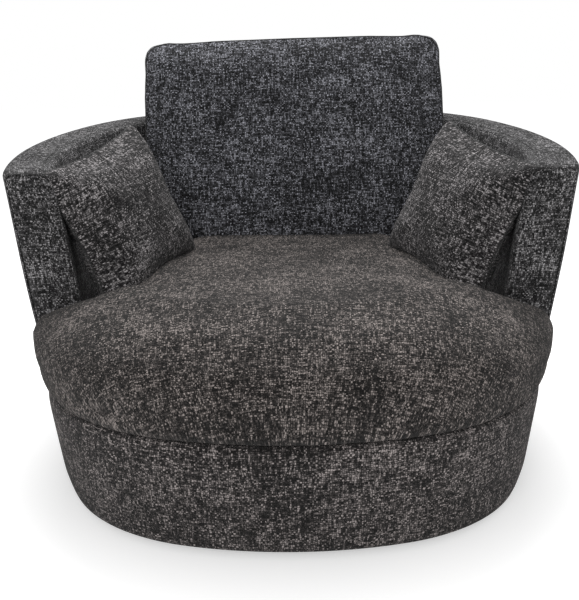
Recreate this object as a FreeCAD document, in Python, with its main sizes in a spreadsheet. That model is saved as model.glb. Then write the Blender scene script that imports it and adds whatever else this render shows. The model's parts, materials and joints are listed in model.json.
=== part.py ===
"""A swivelling cuddle chair: a flared drum base, a C-shaped tub and loose cushions.

The plan of the drum is a rounded square of eight tangent arcs. Every shell, rail and
board of the base and the tub is the same plan drawn in by its own depth below the cover,
so the layers stay parallel. Lengths are millimetres, angles degrees. The origin is on
the floor, on the swivel axis; the seat faces -Y.
"""
import FreeCAD, Part
import Sketcher
import math
import os

V = FreeCAD.Vector
UP = V(0, 0, 1)

SIZES = [
    ("floor_reach", 537, "half width of the drum at the floor"),
    ("flare", 0.132, "lean of the outside, sideways for each unit of height"),
    ("side_bow", 250, "centre of a side arc beyond the middle"),
    ("corner_across", 120, "centre of a corner arc, across"),
    ("corner_along", 180, "centre of a corner arc, front to back"),
    ("plan_step", 8, "widest angle between two stations of the plan"),
    ("skirt_gap", 12, "floor to the hem of the base"),
    ("deck_height", 245, "floor to the seam under the seat cushion"),
    ("arm_front", 205, "swivel axis to the front of the arms"),
    ("arm_height", 692, "floor to the top of the arms, at their front"),
    ("rim_slope", 4.8, "rise of the rim towards the back"),
    ("rim_round", 14, "rounding of the rim and the arm edges"),
    ("wall", 108, "thickness of the tub wall"),
    ("cloth", 2, "thickness of a cover"),
    ("outer_pad", 12, "padding outside the frame"),
    ("inner_pad", 16, "padding inside the frame"),
    ("rim_pad", 20, "padding on the rim"),
    ("arm_pad", 9, "padding on the arm fronts"),
    ("panel", 3, "thickness of the panels on the frame"),
    ("board", 18, "thickness of the frame boards"),
    ("ring_width", 101, "width of the ring under the seat deck"),
    ("rib_depth", 60, "depth of the base ribs"),
    ("base_rib_count", 16, "ribs in the base"),
    ("tub_rib_step", 22.5, "angle between the tub ribs"),
    ("fit", 0.3, "clearance between fitted layers"),
    ("small_sides", 8, "sides of a small round rod or hole"),
    ("glide_height", 8, "height of a floor glide"),
    ("glide_side", 36, "side of a floor glide"),
    ("glide_count", 6, "floor glides"),
    ("glide_ring", 360, "swivel axis to the floor glides"),
    ("floor_board_radius", 400, "radius of the board on the floor"),
    ("plate_side", 300, "side of a swivel plate"),
    ("plate", 3, "thickness of a swivel plate"),
    ("race_radius", 105, "radius of the roller race"),
    ("race_width", 22, "width of the raised roller race"),
    ("race_height", 1.5, "height of the raised roller race"),
    ("roller_radius", 4.5, "radius of a roller"),
    ("roller_length", 16, "length of a roller"),
    ("roller_count", 8, "rollers"),
    ("cage_width", 30, "width of the roller cage"),
    ("cage", 2, "thickness of the roller cage"),
    ("screw_ring", 184, "swivel axis to the plate screws"),
    ("screw_count", 4, "screws in each swivel plate"),
    ("screw_radius", 2.5, "radius of a plate screw"),
    ("screw_length", 16, "length of a plate screw below its head"),
    ("head_radius", 5, "radius across the corners of a plate screw's head"),
    ("head_height", 2.6, "height of a plate screw's head"),
    ("bolt_radius", 4, "radius of a frame bolt"),
    ("bolt_head_radius", 9, "radius across the corners of a frame bolt's head"),
    ("bolt_head_height", 4, "height of a frame bolt's head"),
    ("spring_count", 4, "zigzag springs"),
    ("spring_step", 176, "distance between the springs"),
    ("spring_wire", 4, "thickness of the spring wire"),
    ("spring_pitch", 220, "length of one wave of a spring"),
    ("spring_wave", 72, "half the width of a spring, less its wire"),
    ("clip_side", 26, "side of a spring clip"),
    ("clip_steel", 1, "thickness of a spring clip's roof"),
    ("deck_pad", 7, "thickness of the pad over the springs"),
    ("seat_thick", 209, "seam to crown of the seat cushion"),
    ("seat_gap", 3, "seat cushion to the tub wall"),
    ("back_width", 770, "width of the back cushion"),
    ("back_height", 530, "height of the back cushion"),
    ("back_border", 190, "width of the back cushion's border"),
    ("back_crown", 25, "crown of the back cushion, each side"),
    ("back_corner", 58, "corner radius of the back cushion"),
    ("back_bow", 5, "bow of the back cushion's sides"),
    ("back_lean", 17, "lean of the back cushion"),
    ("back_foot", 200, "swivel axis to the foot of the back cushion"),
    ("back_foot_height", 450, "floor to the foot of the back cushion"),
    ("scatter_side", 338, "side of a scatter cushion"),
    ("scatter_thick", 150, "thickness of a scatter cushion"),
    ("scatter_corner", 20, "corner radius of a scatter cushion"),
    ("scatter_hollow", 14, "how far a scatter cushion's sides draw in"),
    ("scatter_across", 380, "middle of a scatter cushion, sideways"),
    ("scatter_forward", 42, "middle of a scatter cushion, forward"),
    ("scatter_up", 560, "middle of a scatter cushion, upward"),
    ("scatter_turn", 61, "turn of a scatter cushion about the vertical"),
    ("scatter_lean", 18.6, "lean of a scatter cushion"),
    ("scatter_roll", 13.2, "roll of a scatter cushion in its own plane"),
    ("zip_width", 8, "width of a zip"),
    ("seat_zip", 420, "length of the seat cushion's zip"),
    ("back_zip", 420, "length of the back cushion's zip"),
    ("scatter_zip", 200, "length of a scatter cushion's zip"),
]

doc = FreeCAD.newDocument("CuddleChair")
sheet = doc.addObject("Spreadsheet::Sheet", "Sizes")
for row, (alias, number, words) in enumerate(SIZES, 1):
    sheet.set(f"A{row}", words)
    sheet.set(f"B{row}", str(number))
    sheet.setAlias(f"B{row}", alias)
doc.recompute()


def size(expression):
    """The value of an expression on the sheet's sizes."""
    return float(sheet.evalExpression(expression))


# Heights of the stack from the floor up, as expressions on the sheet.
FLOOR_BOARD = "Sizes.glide_height"
LOWER_PLATE = FLOOR_BOARD + " + Sizes.board"
LOWER_PLATE_TOP = LOWER_PLATE + " + Sizes.plate"
ROLLERS = LOWER_PLATE_TOP + " + Sizes.race_height + Sizes.fit / 2 + Sizes.roller_radius"
UPPER_PLATE = ROLLERS + " + Sizes.roller_radius + Sizes.fit / 2 + Sizes.race_height"
DECK_BOARD = UPPER_PLATE + " + Sizes.plate"
DECK_BOARD_TOP = DECK_BOARD + " + Sizes.board"
CLIP_HOLLOW = "Sizes.spring_wire + 4 * Sizes.fit"
TOP_RING_TOP = f"Sizes.deck_height - 2 * Sizes.fit - Sizes.deck_pad - Sizes.clip_steel - ({CLIP_HOLLOW})"
TOP_RING = TOP_RING_TOP + " - Sizes.board"
RAIL_TOP = TOP_RING_TOP + " + Sizes.board"

# Depths below the cover, from the outside of the drum inwards.
CLOTH_INSIDE = "Sizes.cloth"
PADDING_OUT = CLOTH_INSIDE + " + Sizes.fit"
PADDING_IN = PADDING_OUT + " + Sizes.outer_pad"
PANEL_OUT = PADDING_IN + " + Sizes.fit"
PANEL_IN = PANEL_OUT + " + Sizes.panel"
FRAME_OUT = PANEL_IN + " + Sizes.fit"
# The same from the inside of the tub wall.
INNER_PADDING_IN = "Sizes.cloth + Sizes.fit + Sizes.inner_pad"
INNER_FRAME = INNER_PADDING_IN + " + 2 * Sizes.fit + Sizes.panel"


# The plan: a rounded square of eight tangent arcs, walked in short steps

# How far the fourth corner of a side may lie from the plane of the others in a flat side.
FLATNESS = 0.00000001
# Where the curve of the seat's nose ends and that of the tub begins, as shares of the
# distance from the swivel axis to the arm fronts.
NOSE_END = 1.45
HOLLOW_START = 0.55


def reach_at(z):
    """Half width of the cover at a height."""
    return size("Sizes.floor_reach") + size("Sizes.flare") * z


def arc_station(x, y, extra, angle):
    """A station on the arc about x and y whose radius is the reach and extra."""
    def place(depth, z):
        radius = reach_at(z) - depth + extra
        return V(x + radius * math.cos(angle), y + radius * math.sin(angle), z)
    return place


def plan_stations():
    """Stations all round the plan, counter-clockwise from the front of its right side."""
    bow, across, along = size("Sizes.side_bow"), size("Sizes.corner_across"), size("Sizes.corner_along")
    corner = bow - math.hypot(across + bow, along)
    end = corner + math.hypot(across, along + bow)
    a, b = math.atan2(along, across + bow), math.atan2(across, along + bow)
    quarter = math.pi / 2
    arcs = [(-bow, 0, bow, -a, a),
            (across, along, corner, a, quarter - b),
            (0, -bow, end, quarter - b, quarter + b),
            (-across, along, corner, quarter + b, 2 * quarter - a)]
    arcs += [(-x, -y, extra, start + 2 * quarter, stop + 2 * quarter) for x, y, extra, start, stop in arcs]
    stations = []
    for x, y, extra, start, stop in arcs:
        steps = math.ceil((stop - start) / math.radians(size("Sizes.plan_step")))
        stations += [arc_station(x, y, extra, start + (stop - start) * step / steps) for step in range(steps)]
    return stations


def stations_beyond(y, behind):
    """The plan's stations behind or before y, counter-clockwise."""
    height = size("Sizes.deck_height")
    kept = [place for place in plan_stations() if (place(0, height).y > y) == behind]
    if behind:
        return kept
    return sorted(kept, key=lambda place: math.atan2(place(0, height).x, -place(0, height).y))


def side_point(depth, y, z):
    """The point of the plan's right side at y."""
    places = [station(depth, z) for station in plan_stations()]
    for here, there in zip(places[-1:] + places, places):
        if here.x > 0 and here.y <= y < there.y:
            return here + (there - here) * ((y - here.y) / (there.y - here.y))
    raise ValueError("the plan isn't that deep")


def front_station(side, setback):
    """A station on the straight end of an arm, setback behind its front; side is 1 or -1."""
    front = -size("Sizes.arm_front")
    first = stations_beyond_arms()[0]

    def place(depth, z):
        start = side_point(depth, front, z)
        along = first(depth, z) - start
        point = start + along * (setback / along.y)
        return V(side * point.x, point.y, z)
    return place


def plan_point(angle, depth, z):
    """The point of the plan in a direction from the swivel axis, and the plan's way out there."""
    places = [station(depth, z) for station in plan_stations()]
    for here, there in zip(places, places[1:] + places[:1]):
        turn = [(math.atan2(place.y, place.x) - angle + math.pi) % (2 * math.pi) - math.pi
                for place in (here, there)]
        if turn[0] <= 0 < turn[1] and turn[1] - turn[0] < math.pi:
            share = turn[0] / (turn[0] - turn[1])
            along = there - here
            return here + along * share, V(along.y, -along.x, 0).normalize()
    raise ValueError("no step of the plan lies that way")


def outline(depth, z):
    """The plan at a height, drawn in by depth."""
    return [station(depth, z) for station in plan_stations()]


def flat_faces(corners):
    """One face through four corners, or if they don't lie in one plane, two that meet in the lowest one."""
    first = min(range(4), key=lambda corner: corners[corner].y + corners[corner].z)
    a, b, c, d = corners[first:] + corners[:first]
    across = (b - a).cross(c - a)
    if abs(across.dot(d - a)) < FLATNESS * across.Length:
        return [Part.Face(Part.makePolygon([a, b, c, d, a]))]
    return [Part.Face(Part.makePolygon([a, b, c, a])), Part.Face(Part.makePolygon([a, c, d, a]))]


def loft(outlines):
    """A solid with flat faces through closed outlines of as many points each."""
    faces = [Part.Face(Part.makePolygon(outline + outline[:1])) for outline in (outlines[0], outlines[-1])]
    for lower, upper in zip(outlines, outlines[1:]):
        for point in range(len(lower)):
            faces += flat_faces([lower[point - 1], lower[point], upper[point], upper[point - 1]])
    solid = Part.Solid(Part.makeShell(faces))
    if solid.Volume < 0:
        solid.reverse()
    return solid


def drum(inset, low, high):
    """A solid slice of the flared drum, drawn in by inset."""
    return loft([outline(inset, low), outline(inset, high)])


def drum_ring(outer, inner, low, high):
    """A slice of the drum between two depths below the cover."""
    return drum(outer, low, high).cut(drum(inner, low - 1, high + 1))


def rod(radius, length, base, along=UP, sides=None):
    """A small round rod, hole or hexagonal head as a prism; length may be below 0."""
    sides = sides or int(size("Sizes.small_sides"))
    turn = FreeCAD.Rotation(UP, along)
    angles = [2 * math.pi * side / sides for side in range(sides)] + [0]
    rim = [V(radius * math.cos(angle), radius * math.sin(angle), 0) for angle in angles]
    corners = [base + turn.multVec(place) for place in rim]
    return Part.Face(Part.makePolygon(corners)).extrude(along * length)


# The document

def feature(label, shape):
    """A named piece whose shape comes from the plan."""
    piece = doc.addObject("Part::Feature", label)
    piece.Label = label
    piece.Shape = shape
    return piece


def origin_of(body, role):
    """One of the planes or axes of a body."""
    return [item for item in body.Origin.OriginFeatures if item.Role == role][0]


def new_body(label):
    """An empty body with its label."""
    body = doc.addObject("PartDesign::Body", label)
    body.Label = label
    return body


def new_sketch(body, name, role="XY_Plane", height=None):
    """A sketch on a plane of the body, at a height if one is given."""
    sketch = body.newObject("Sketcher::SketchObject", name)
    sketch.AttachmentSupport = (origin_of(body, role), [""])
    sketch.MapMode = "FlatFace"
    if height:
        sketch.setExpression("AttachmentOffset.Base.z", height)
    return sketch


def constrain(sketch, expression, *constraint):
    """A dimension of the sketch, bound to an expression."""
    index = sketch.addConstraint(Sketcher.Constraint(*constraint, size(expression)))
    sketch.setExpression(f"Constraints[{index}]", expression)


def circle(sketch, radius, x=None, y=None):
    """A circle on the origin, or at x and y; all are expressions."""
    start = V(size(x) if x else 0, size(y) if y else 0, 0)
    index = sketch.addGeometry(Part.Circle(start, UP, size(radius)), False)
    constrain(sketch, radius, "Radius", index)
    if x:
        constrain(sketch, x, "DistanceX", -1, 1, index, 3)
    else:
        sketch.addConstraint(Sketcher.Constraint("PointOnObject", index, 3, -2))
    if y:
        constrain(sketch, y, "DistanceY", -1, 1, index, 3)
    else:
        sketch.addConstraint(Sketcher.Constraint("PointOnObject", index, 3, -1))


def rectangle(sketch, length, width, x="0"):
    """A rectangle centred on the X axis at x, length along X; all are expressions."""
    ends = [f"{x} + ({length}) / 2", f"{x} - ({length}) / 2"]
    half = size(width) / 2
    right, left = size(ends[0]), size(ends[1])
    corners = [V(right, half, 0), V(left, half, 0), V(left, -half, 0), V(right, -half, 0)]
    for here, there in zip(corners, corners[1:] + corners[:1]):
        sketch.addGeometry(Part.LineSegment(here, there), False)
    for line in range(4):
        sketch.addConstraint(Sketcher.Constraint("Coincident", line, 2, (line + 1) % 4, 1))
        sketch.addConstraint(Sketcher.Constraint("Vertical" if line % 2 else "Horizontal", line))
    constrain(sketch, ends[0], "DistanceX", -1, 1, 0, 1)
    constrain(sketch, ends[1], "DistanceX", -1, 1, 2, 1)
    constrain(sketch, f"({width}) / 2", "DistanceY", -1, 1, 0, 1)
    constrain(sketch, f"({width}) / 2", "DistanceY", 2, 1, -1, 1)


def pad(body, sketch, length, reverse=False):
    """A pad of a sketch; the length is an expression."""
    made = body.newObject("PartDesign::Pad", "Pad")
    made.Profile = sketch
    made.setExpression("Length", length)
    made.Reversed = reverse
    return made


def pocket(body, sketch, length):
    """A cut to both sides of the sketch, length long in all."""
    made = body.newObject("PartDesign::Pocket", "Pocket")
    made.Profile = sketch
    made.setExpression("Length", length)
    made.Midplane = True
    return made


def ring_of(body, original, count):
    """Copies of a feature, evenly round the swivel axis."""
    made = body.newObject("PartDesign::PolarPattern", "Ring")
    made.Originals = [original]
    made.Axis = (origin_of(body, "Z_Axis"), [""])
    made.Angle = 360
    made.setExpression("Occurrences", count)
    body.Tip = made
    return made


# The fixed foot and the swivel

SCREW_PLACE = {"x": "Sizes.screw_ring * cos(45)", "y": "Sizes.screw_ring * sin(45)"}


def floor_board():
    """The round board on the floor, with pilot holes for the lower plate's screws."""
    body = new_body("floor_board")
    sketch = new_sketch(body, "BoardPlan", height=FLOOR_BOARD)
    circle(sketch, "Sizes.floor_board_radius")
    pad(body, sketch, "Sizes.board")
    holes = new_sketch(body, "PilotHoles", height=LOWER_PLATE)
    circle(holes, "Sizes.screw_radius", **SCREW_PLACE)
    doc.recompute()
    ring_of(body, pocket(body, holes, "2 * Sizes.screw_length"), "Sizes.screw_count")
    return body


def floor_glides():
    """Plastic pads under the rim of the floor board."""
    body = new_body("floor_glides")
    sketch = new_sketch(body, "GlidePlan")
    rectangle(sketch, "Sizes.glide_side", "Sizes.glide_side", x="Sizes.glide_ring")
    foot = pad(body, sketch, "Sizes.glide_height")
    ring_of(body, foot, "Sizes.glide_count")
    return body


def centre_glide():
    """The glide under the swivel axis, where the chair's origin is."""
    body = new_body("centre_glide")
    sketch = new_sketch(body, "GlidePlan")
    rectangle(sketch, "Sizes.glide_side", "Sizes.glide_side")
    pad(body, sketch, "Sizes.glide_height")
    return body


def swivel_plate(label, low, race_from, race_up):
    """A square steel plate with a raised roller race on the side of the rollers."""
    body = new_body(label)
    sketch = new_sketch(body, "PlatePlan", height=low)
    rectangle(sketch, "Sizes.plate_side", "Sizes.plate_side")
    pad(body, sketch, "Sizes.plate")
    race = new_sketch(body, "RacePlan", height=race_from)
    circle(race, "Sizes.race_radius - Sizes.race_width / 2")
    circle(race, "Sizes.race_radius + Sizes.race_width / 2")
    doc.recompute()
    pad(body, race, "Sizes.race_height", reverse=not race_up)
    holes = new_sketch(body, "ScrewHoles", height=low)
    circle(holes, "Sizes.screw_radius + Sizes.fit", **SCREW_PLACE)
    doc.recompute()
    ring_of(body, pocket(body, holes, "4 * Sizes.plate"), "Sizes.screw_count")
    return body


def screw_turns():
    """The angles of a plate's screws."""
    count = int(size("Sizes.screw_count"))
    return [math.pi / 4 + 2 * math.pi * index / count for index in range(count)]


def plate_screws(label, plate_face, sense):
    """Hexagon-headed screws through a plate; sense is 1 where the heads are on top."""
    ring, face = size("Sizes.screw_ring"), size(plate_face)
    tall, long = size("Sizes.head_height"), size("Sizes.screw_length")
    screws = []
    for angle in screw_turns():
        place = V(ring * math.cos(angle), ring * math.sin(angle), face)
        head = rod(size("Sizes.head_radius"), sense * tall, place, sides=6)
        screws.append(head.fuse(rod(size("Sizes.screw_radius"), -sense * long, place)))
    return feature(label, Part.Compound(screws))


def roller_cage():
    """The ring that spaces the rollers, with a slot for each."""
    body = new_body("roller_cage")
    sketch = new_sketch(body, "CagePlan", height=ROLLERS + " - Sizes.cage / 2")
    circle(sketch, "Sizes.race_radius - Sizes.cage_width / 2")
    circle(sketch, "Sizes.race_radius + Sizes.cage_width / 2")
    pad(body, sketch, "Sizes.cage")
    hole = new_sketch(body, "RollerSlot", height=ROLLERS)
    rectangle(hole, "Sizes.roller_length + 2 * Sizes.fit", "2 * (Sizes.roller_radius + Sizes.fit)",
              x="Sizes.race_radius")
    doc.recompute()
    ring_of(body, pocket(body, hole, "4 * Sizes.cage"), "Sizes.roller_count")
    return body


def rollers():
    """Steel rollers that lie along the radii, one in each slot of the cage."""
    long, ring = size("Sizes.roller_length"), size("Sizes.race_radius")
    count = int(size("Sizes.roller_count"))
    made = []
    for index in range(count):
        angle = 2 * math.pi * index / count
        out = V(math.cos(angle), math.sin(angle), 0)
        start = out * (ring - long / 2) + V(0, 0, size(ROLLERS))
        made.append(rod(size("Sizes.roller_radius"), long, start, out))
    return feature("rollers", Part.Compound(made))


# The base

def plan_feature(label, outer, inner, low, high):
    """A ring of the drum; depths and heights are expressions."""
    return feature(label, drum_ring(size(outer), size(inner), size(low), size(high)))


def base_deck_board():
    """The round board that turns on the swivel, with the holes of its screws."""
    low, high = size(DECK_BOARD), size(DECK_BOARD_TOP)
    ring, depth = size("Sizes.screw_ring"), size("Sizes.screw_length - Sizes.plate") + 2
    board = drum(size(FRAME_OUT), low, high)
    for angle in screw_turns():
        place = V(ring * math.cos(angle), ring * math.sin(angle), low - 1)
        board = board.cut(rod(size("Sizes.screw_radius"), depth, place))
    return feature("base_deck_board", board)


def base_skirt_ring():
    """The board ring at the foot of the drum, outside the deck board."""
    return plan_feature("base_skirt_ring", FRAME_OUT, FRAME_OUT + " + Sizes.rib_depth",
                        "Sizes.skirt_gap + Sizes.cloth + Sizes.fit", DECK_BOARD)


def upright_boards(places, thick, depth, low, high):
    """Boards square to the plan, one at each place on it, that reach past this depth inside and outside."""
    boards = []
    for point, out in places:
        board = Part.makeBox(3 * depth, thick, high - low, V(-2 * depth, -thick / 2, 0))
        board.rotate(V(0, 0, 0), UP, math.degrees(math.atan2(out.y, out.x)))
        board.translate(V(point.x, point.y, low))
        boards.append(board)
    return boards


def ribs(label, zone, turns, depth, low, high):
    """The parts of a zone that lie in boards at these angles."""
    places = [plan_point(turn, 0, high) for turn in turns]
    boards = upright_boards(places, size("Sizes.board"), depth, low, high)
    cut = [solid for board in boards for solid in zone.common(board).Solids]
    return feature(label, Part.Compound(cut))


def base_ribs():
    """Uprights of the drum between the skirt ring and the top ring."""
    low, high = size(DECK_BOARD_TOP), size(TOP_RING)
    count = int(size("Sizes.base_rib_count"))
    turns = [2 * math.pi * index / count for index in range(count)]
    zone = drum_ring(size(FRAME_OUT), size(FRAME_OUT + " + Sizes.rib_depth"), low, high)
    return ribs("base_ribs", zone, turns, size("Sizes.rib_depth"), low, high)


def rib_turns():
    """The angles of the tub's ribs, evenly from side to side about the back."""
    step = size("Sizes.tub_rib_step")
    half = int(90 / step)
    return [math.radians(90 + index * step) for index in range(-half, half + 1)]


def bolt_places():
    """Points under the tub frame for the bolts, one half way between each two ribs."""
    depth = (size(FRAME_OUT) + size("Sizes.wall") - size(INNER_FRAME)) / 2
    turns = rib_turns()
    middles = [(here + there) / 2 for here, there in zip(turns, turns[1:])]
    return [plan_point(turn, depth, size(TOP_RING_TOP))[0] for turn in middles]


def base_top_ring():
    """The ring that carries the springs and the tub, with holes for the frame bolts."""
    low, high = size(TOP_RING), size(TOP_RING_TOP)
    ring = drum_ring(size(FRAME_OUT), size(FRAME_OUT + " + Sizes.ring_width"), low, high)
    for place in bolt_places():
        base = V(place.x, place.y, low - 1)
        ring = ring.cut(rod(size("Sizes.bolt_radius + Sizes.fit"), high - low + 2, base))
    return feature("base_top_ring", ring)


def frame_bolts():
    """Bolts up through the ring into the tub frame's bottom rail, heads below."""
    bolts = []
    low, high = size(TOP_RING), size(RAIL_TOP)
    for place in bolt_places():
        start = V(place.x, place.y, low)
        head = rod(size("Sizes.bolt_head_radius"), -size("Sizes.bolt_head_height"), start, sides=6)
        bolts.append(head.fuse(rod(size("Sizes.bolt_radius"), high - low, start)))
    return feature("frame_bolts", Part.Compound(bolts))


def base_outer_panel():
    """The hardboard round the ribs of the drum."""
    return plan_feature("base_outer_panel", PANEL_OUT, PANEL_IN,
                        "Sizes.skirt_gap + Sizes.cloth + Sizes.fit", TOP_RING_TOP)


def base_padding():
    """The foam round the drum."""
    return plan_feature("base_padding", PADDING_OUT, PADDING_IN,
                        "Sizes.skirt_gap + Sizes.cloth + Sizes.fit", "Sizes.deck_height - Sizes.cloth - Sizes.fit")


def base_cover():
    """The cloth round the drum, with a hem below and a turn-in at the seat seam."""
    low, high = size("Sizes.skirt_gap"), size("Sizes.deck_height")
    cloth = size("Sizes.cloth")
    skin = drum_ring(0, cloth, low, high)
    hem = drum_ring(cloth, size(FRAME_OUT + " + Sizes.rib_depth / 2"), low, low + cloth)
    turn_in = drum_ring(cloth, size(PANEL_IN), high - cloth, high)
    return feature("base_cover", skin.fuse([hem, turn_in]).removeSplitter())


def dust_cover():
    """The thin sheet under the deck board, open round the swivel."""
    low = size(DECK_BOARD + " - Sizes.cloth / 2 - Sizes.fit")
    high = size(DECK_BOARD + " - Sizes.fit")
    sheet_ring = drum(size(FRAME_OUT + " + Sizes.rib_depth + 2 * Sizes.fit"), low, high)
    hole = size("Sizes.plate_side") * math.sqrt(0.5) + size("Sizes.board")
    return feature("dust_cover", sheet_ring.cut(Part.makeCylinder(hole, 10, V(0, 0, low - 5))))


# The seat deck

def ring_opening_y(x):
    """Half the opening of the top ring at x, front to back."""
    depth = size(FRAME_OUT + " + Sizes.ring_width")
    places = [station(depth, size(TOP_RING_TOP)) for station in plan_stations()]
    for here, there in zip(places, places[1:]):
        if here.y > 0 and there.x <= x <= here.x:
            share = (x - here.x) / (there.x - here.x)
            return here.y + share * (there.y - here.y)
    raise ValueError("the ring isn't that wide")


SPRING_CHORDS = 4


def spring_rows():
    """Each spring's place across the seat."""
    count = int(size("Sizes.spring_count"))
    return [(index - (count - 1) / 2) * size("Sizes.spring_step") for index in range(count)]


def spring_height():
    """Height of the middle of the springs' wire."""
    return size(TOP_RING_TOP + " + 2 * Sizes.fit + Sizes.spring_wire / 2")


def spring_side(x, reach, turns, bar, edge):
    """One side of a spring's wire: crosswise bars and half turns, edge to the left of its middle."""
    step = 2 * reach / turns
    places = [V(x - bar, edge - reach, 0)]
    for turn in range(turns):
        sense = 1 if turn % 2 == 0 else -1
        radius = step / 2 - sense * edge
        y = turn * step - reach + step / 2
        for share in range(SPRING_CHORDS + 1):
            angle = math.pi * (share / SPRING_CHORDS - 0.5)
            out = bar + radius * math.cos(angle)
            places.append(V(x + sense * out, y + radius * math.sin(angle), 0))
    last = 1 if turns % 2 == 0 else -1
    return places + [V(x + last * bar, reach + last * edge, 0)]


def seat_springs():
    """Zigzag springs from the front of the ring to its back."""
    wire = size("Sizes.spring_wire")
    springs = []
    for x in spring_rows():
        reach = ring_opening_y(x) + size("Sizes.clip_side") / 2
        turns = round(2 * reach / (size("Sizes.spring_pitch") / 2))
        bar = size("Sizes.spring_wave") - reach / turns
        left = spring_side(x, reach, turns, bar, wire / 2)
        right = spring_side(x, reach, turns, bar, -wire / 2)
        spring = Part.Face(Part.makePolygon(left + right[::-1] + left[:1])).extrude(V(0, 0, wire))
        spring.translate(V(0, 0, spring_height() - wire / 2))
        springs.append(spring)
    return feature("seat_springs", Part.Compound(springs))


def spring_clips():
    """A folded clip over the last bar of each spring end, fixed to the ring."""
    side, wire, fit = size("Sizes.clip_side"), size("Sizes.spring_wire"), size("Sizes.fit")
    low, roof = size(TOP_RING_TOP), size("Sizes.clip_steel")
    hollow = size(CLIP_HOLLOW)
    clips = []
    for x in spring_rows():
        for end in (-1, 1):
            y = end * (ring_opening_y(x) + side / 2)
            clip = Part.makeBox(side, side, hollow + roof, V(x - side / 2, y - side / 2, low))
            slot = Part.makeBox(side + 2, wire + 2 * fit, hollow,
                                V(x - side / 2 - 1, y - wire / 2 - fit, low))
            clips.append(clip.cut(slot))
    return feature("spring_clips", Part.Compound(clips))


def tee(z, outer, inner, y):
    """A T-shaped outline: a nose at one depth of the plan, ears that end at y, a back at another depth."""
    front = size("Sizes.arm_front")
    nose = [place(outer, z) for place in stations_beyond(-front * NOSE_END, False)]
    back = [place(inner, z) for place in stations_beyond_arms()]
    corners = [side_point(outer, y, z), front_station(1, y + front)(inner, z)]
    mirrored = [V(-place.x, place.y, z) for place in reversed(corners)]
    return nose + corners + back + mirrored


def seat_deck_pad():
    """The felt over the springs, inside the tub wall and out to the front of the base."""
    fit = size("Sizes.fit")
    high = size("Sizes.deck_height - Sizes.fit")
    low = high - size("Sizes.deck_pad")
    inner = size("Sizes.wall") + size("Sizes.seat_gap")
    y = -size("Sizes.arm_front") - size("Sizes.seat_gap")
    outlines = [tee(z, size(PANEL_IN) + fit, inner, y) for z in (low, high)]
    return feature("seat_deck_pad", loft(outlines))


# The tub wall: sections of the wall, set up at the stations from arm to arm

def rim_height(y, drop):
    """Height of the rim's sloping plane at y, lowered by drop."""
    rise = math.tan(math.radians(size("Sizes.rim_slope")))
    return size("Sizes.arm_height") + (y + size("Sizes.arm_front")) * rise - drop


def foot(depth, z):
    """A corner of a wall section at a fixed height."""
    return lambda place: place(depth, z)


# Steps in which a rim corner's height settles, because its place shifts with its height.
RIM_STEPS = 7


def top(depth, drop):
    """A corner of a wall section that keeps its drop below the rim."""
    def point(place):
        z = size("Sizes.arm_height")
        for _ in range(RIM_STEPS):
            z = rim_height(place(depth, z).y, drop)
        return place(depth, z)
    return point


CORNER_TURNS = [0, 45, 90]


def rounded_top(outer, inner, drop, radius):
    """The top corners of a wall section, each a quarter circle in two steps."""
    turns = [math.radians(turn) for turn in CORNER_TURNS]
    rise = [(radius * (1 - math.cos(turn)), radius * (1 - math.sin(turn))) for turn in turns]
    return ([top(outer + across, drop + down) for across, down in rise]
            + [top(inner - across, drop + down) for across, down in reversed(rise)])


def stations_beyond_arms():
    """The stations of the tub wall behind the straight ends of the arms."""
    return stations_beyond(-size("Sizes.arm_front") * HOLLOW_START, True)


def arm_to_arm(setback):
    """Stations from the right arm's front, set back, round the tub to the left arm's front."""
    return [front_station(1, setback)] + stations_beyond_arms() + [front_station(-1, setback)]


def wall_loft(section, stations):
    """A solid through a closed wall section at each station."""
    return loft([[point(place) for point in section] for place in stations])


def frame_drop():
    """The rim's drop to the top of the frame."""
    return size(PADDING_OUT + " + Sizes.rim_pad + Sizes.fit")


def core_depths():
    """Depths below the cover of the hollow that the padding leaves."""
    return size(PADDING_IN), size("Sizes.wall") - size(INNER_PADDING_IN)


def frame_depths():
    """Depths below the cover of the outside and inside of the tub frame's boards."""
    return size(FRAME_OUT), size("Sizes.wall") - size(INNER_FRAME)


def arm_depth(layer):
    """How far behind the arm fronts each layer starts: cover, padding, board and the rails."""
    fit = size("Sizes.fit")
    padding = size("Sizes.cloth") + fit
    board = padding + size("Sizes.arm_pad") + fit
    return {"cover": 0, "padding": padding, "board": board, "rails": board + size("Sizes.board") + fit}[layer]


def wall_foot():
    """Height of the foot of the tub's layers."""
    return size("Sizes.deck_height + Sizes.fit")


def tub_cover():
    """The cloth over the wall: up the outside, over the rim and down the inside."""
    low, wall, cloth = wall_foot(), size("Sizes.wall"), size("Sizes.cloth")
    rounding = size("Sizes.rim_round")
    outside = [foot(0, low)] + rounded_top(0, wall, 0, rounding) + [foot(wall, low)]
    inner = wall - cloth
    inside = [foot(cloth, low)] + rounded_top(cloth, inner, cloth, rounding - cloth) + [foot(inner, low)]
    return feature("tub_cover", wall_loft(outside + inside[::-1], arm_to_arm(arm_depth("padding"))))


def above_rim():
    """A height above every point of the rim."""
    return rim_height(2 * size("Sizes.floor_reach"), 0)


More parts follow.
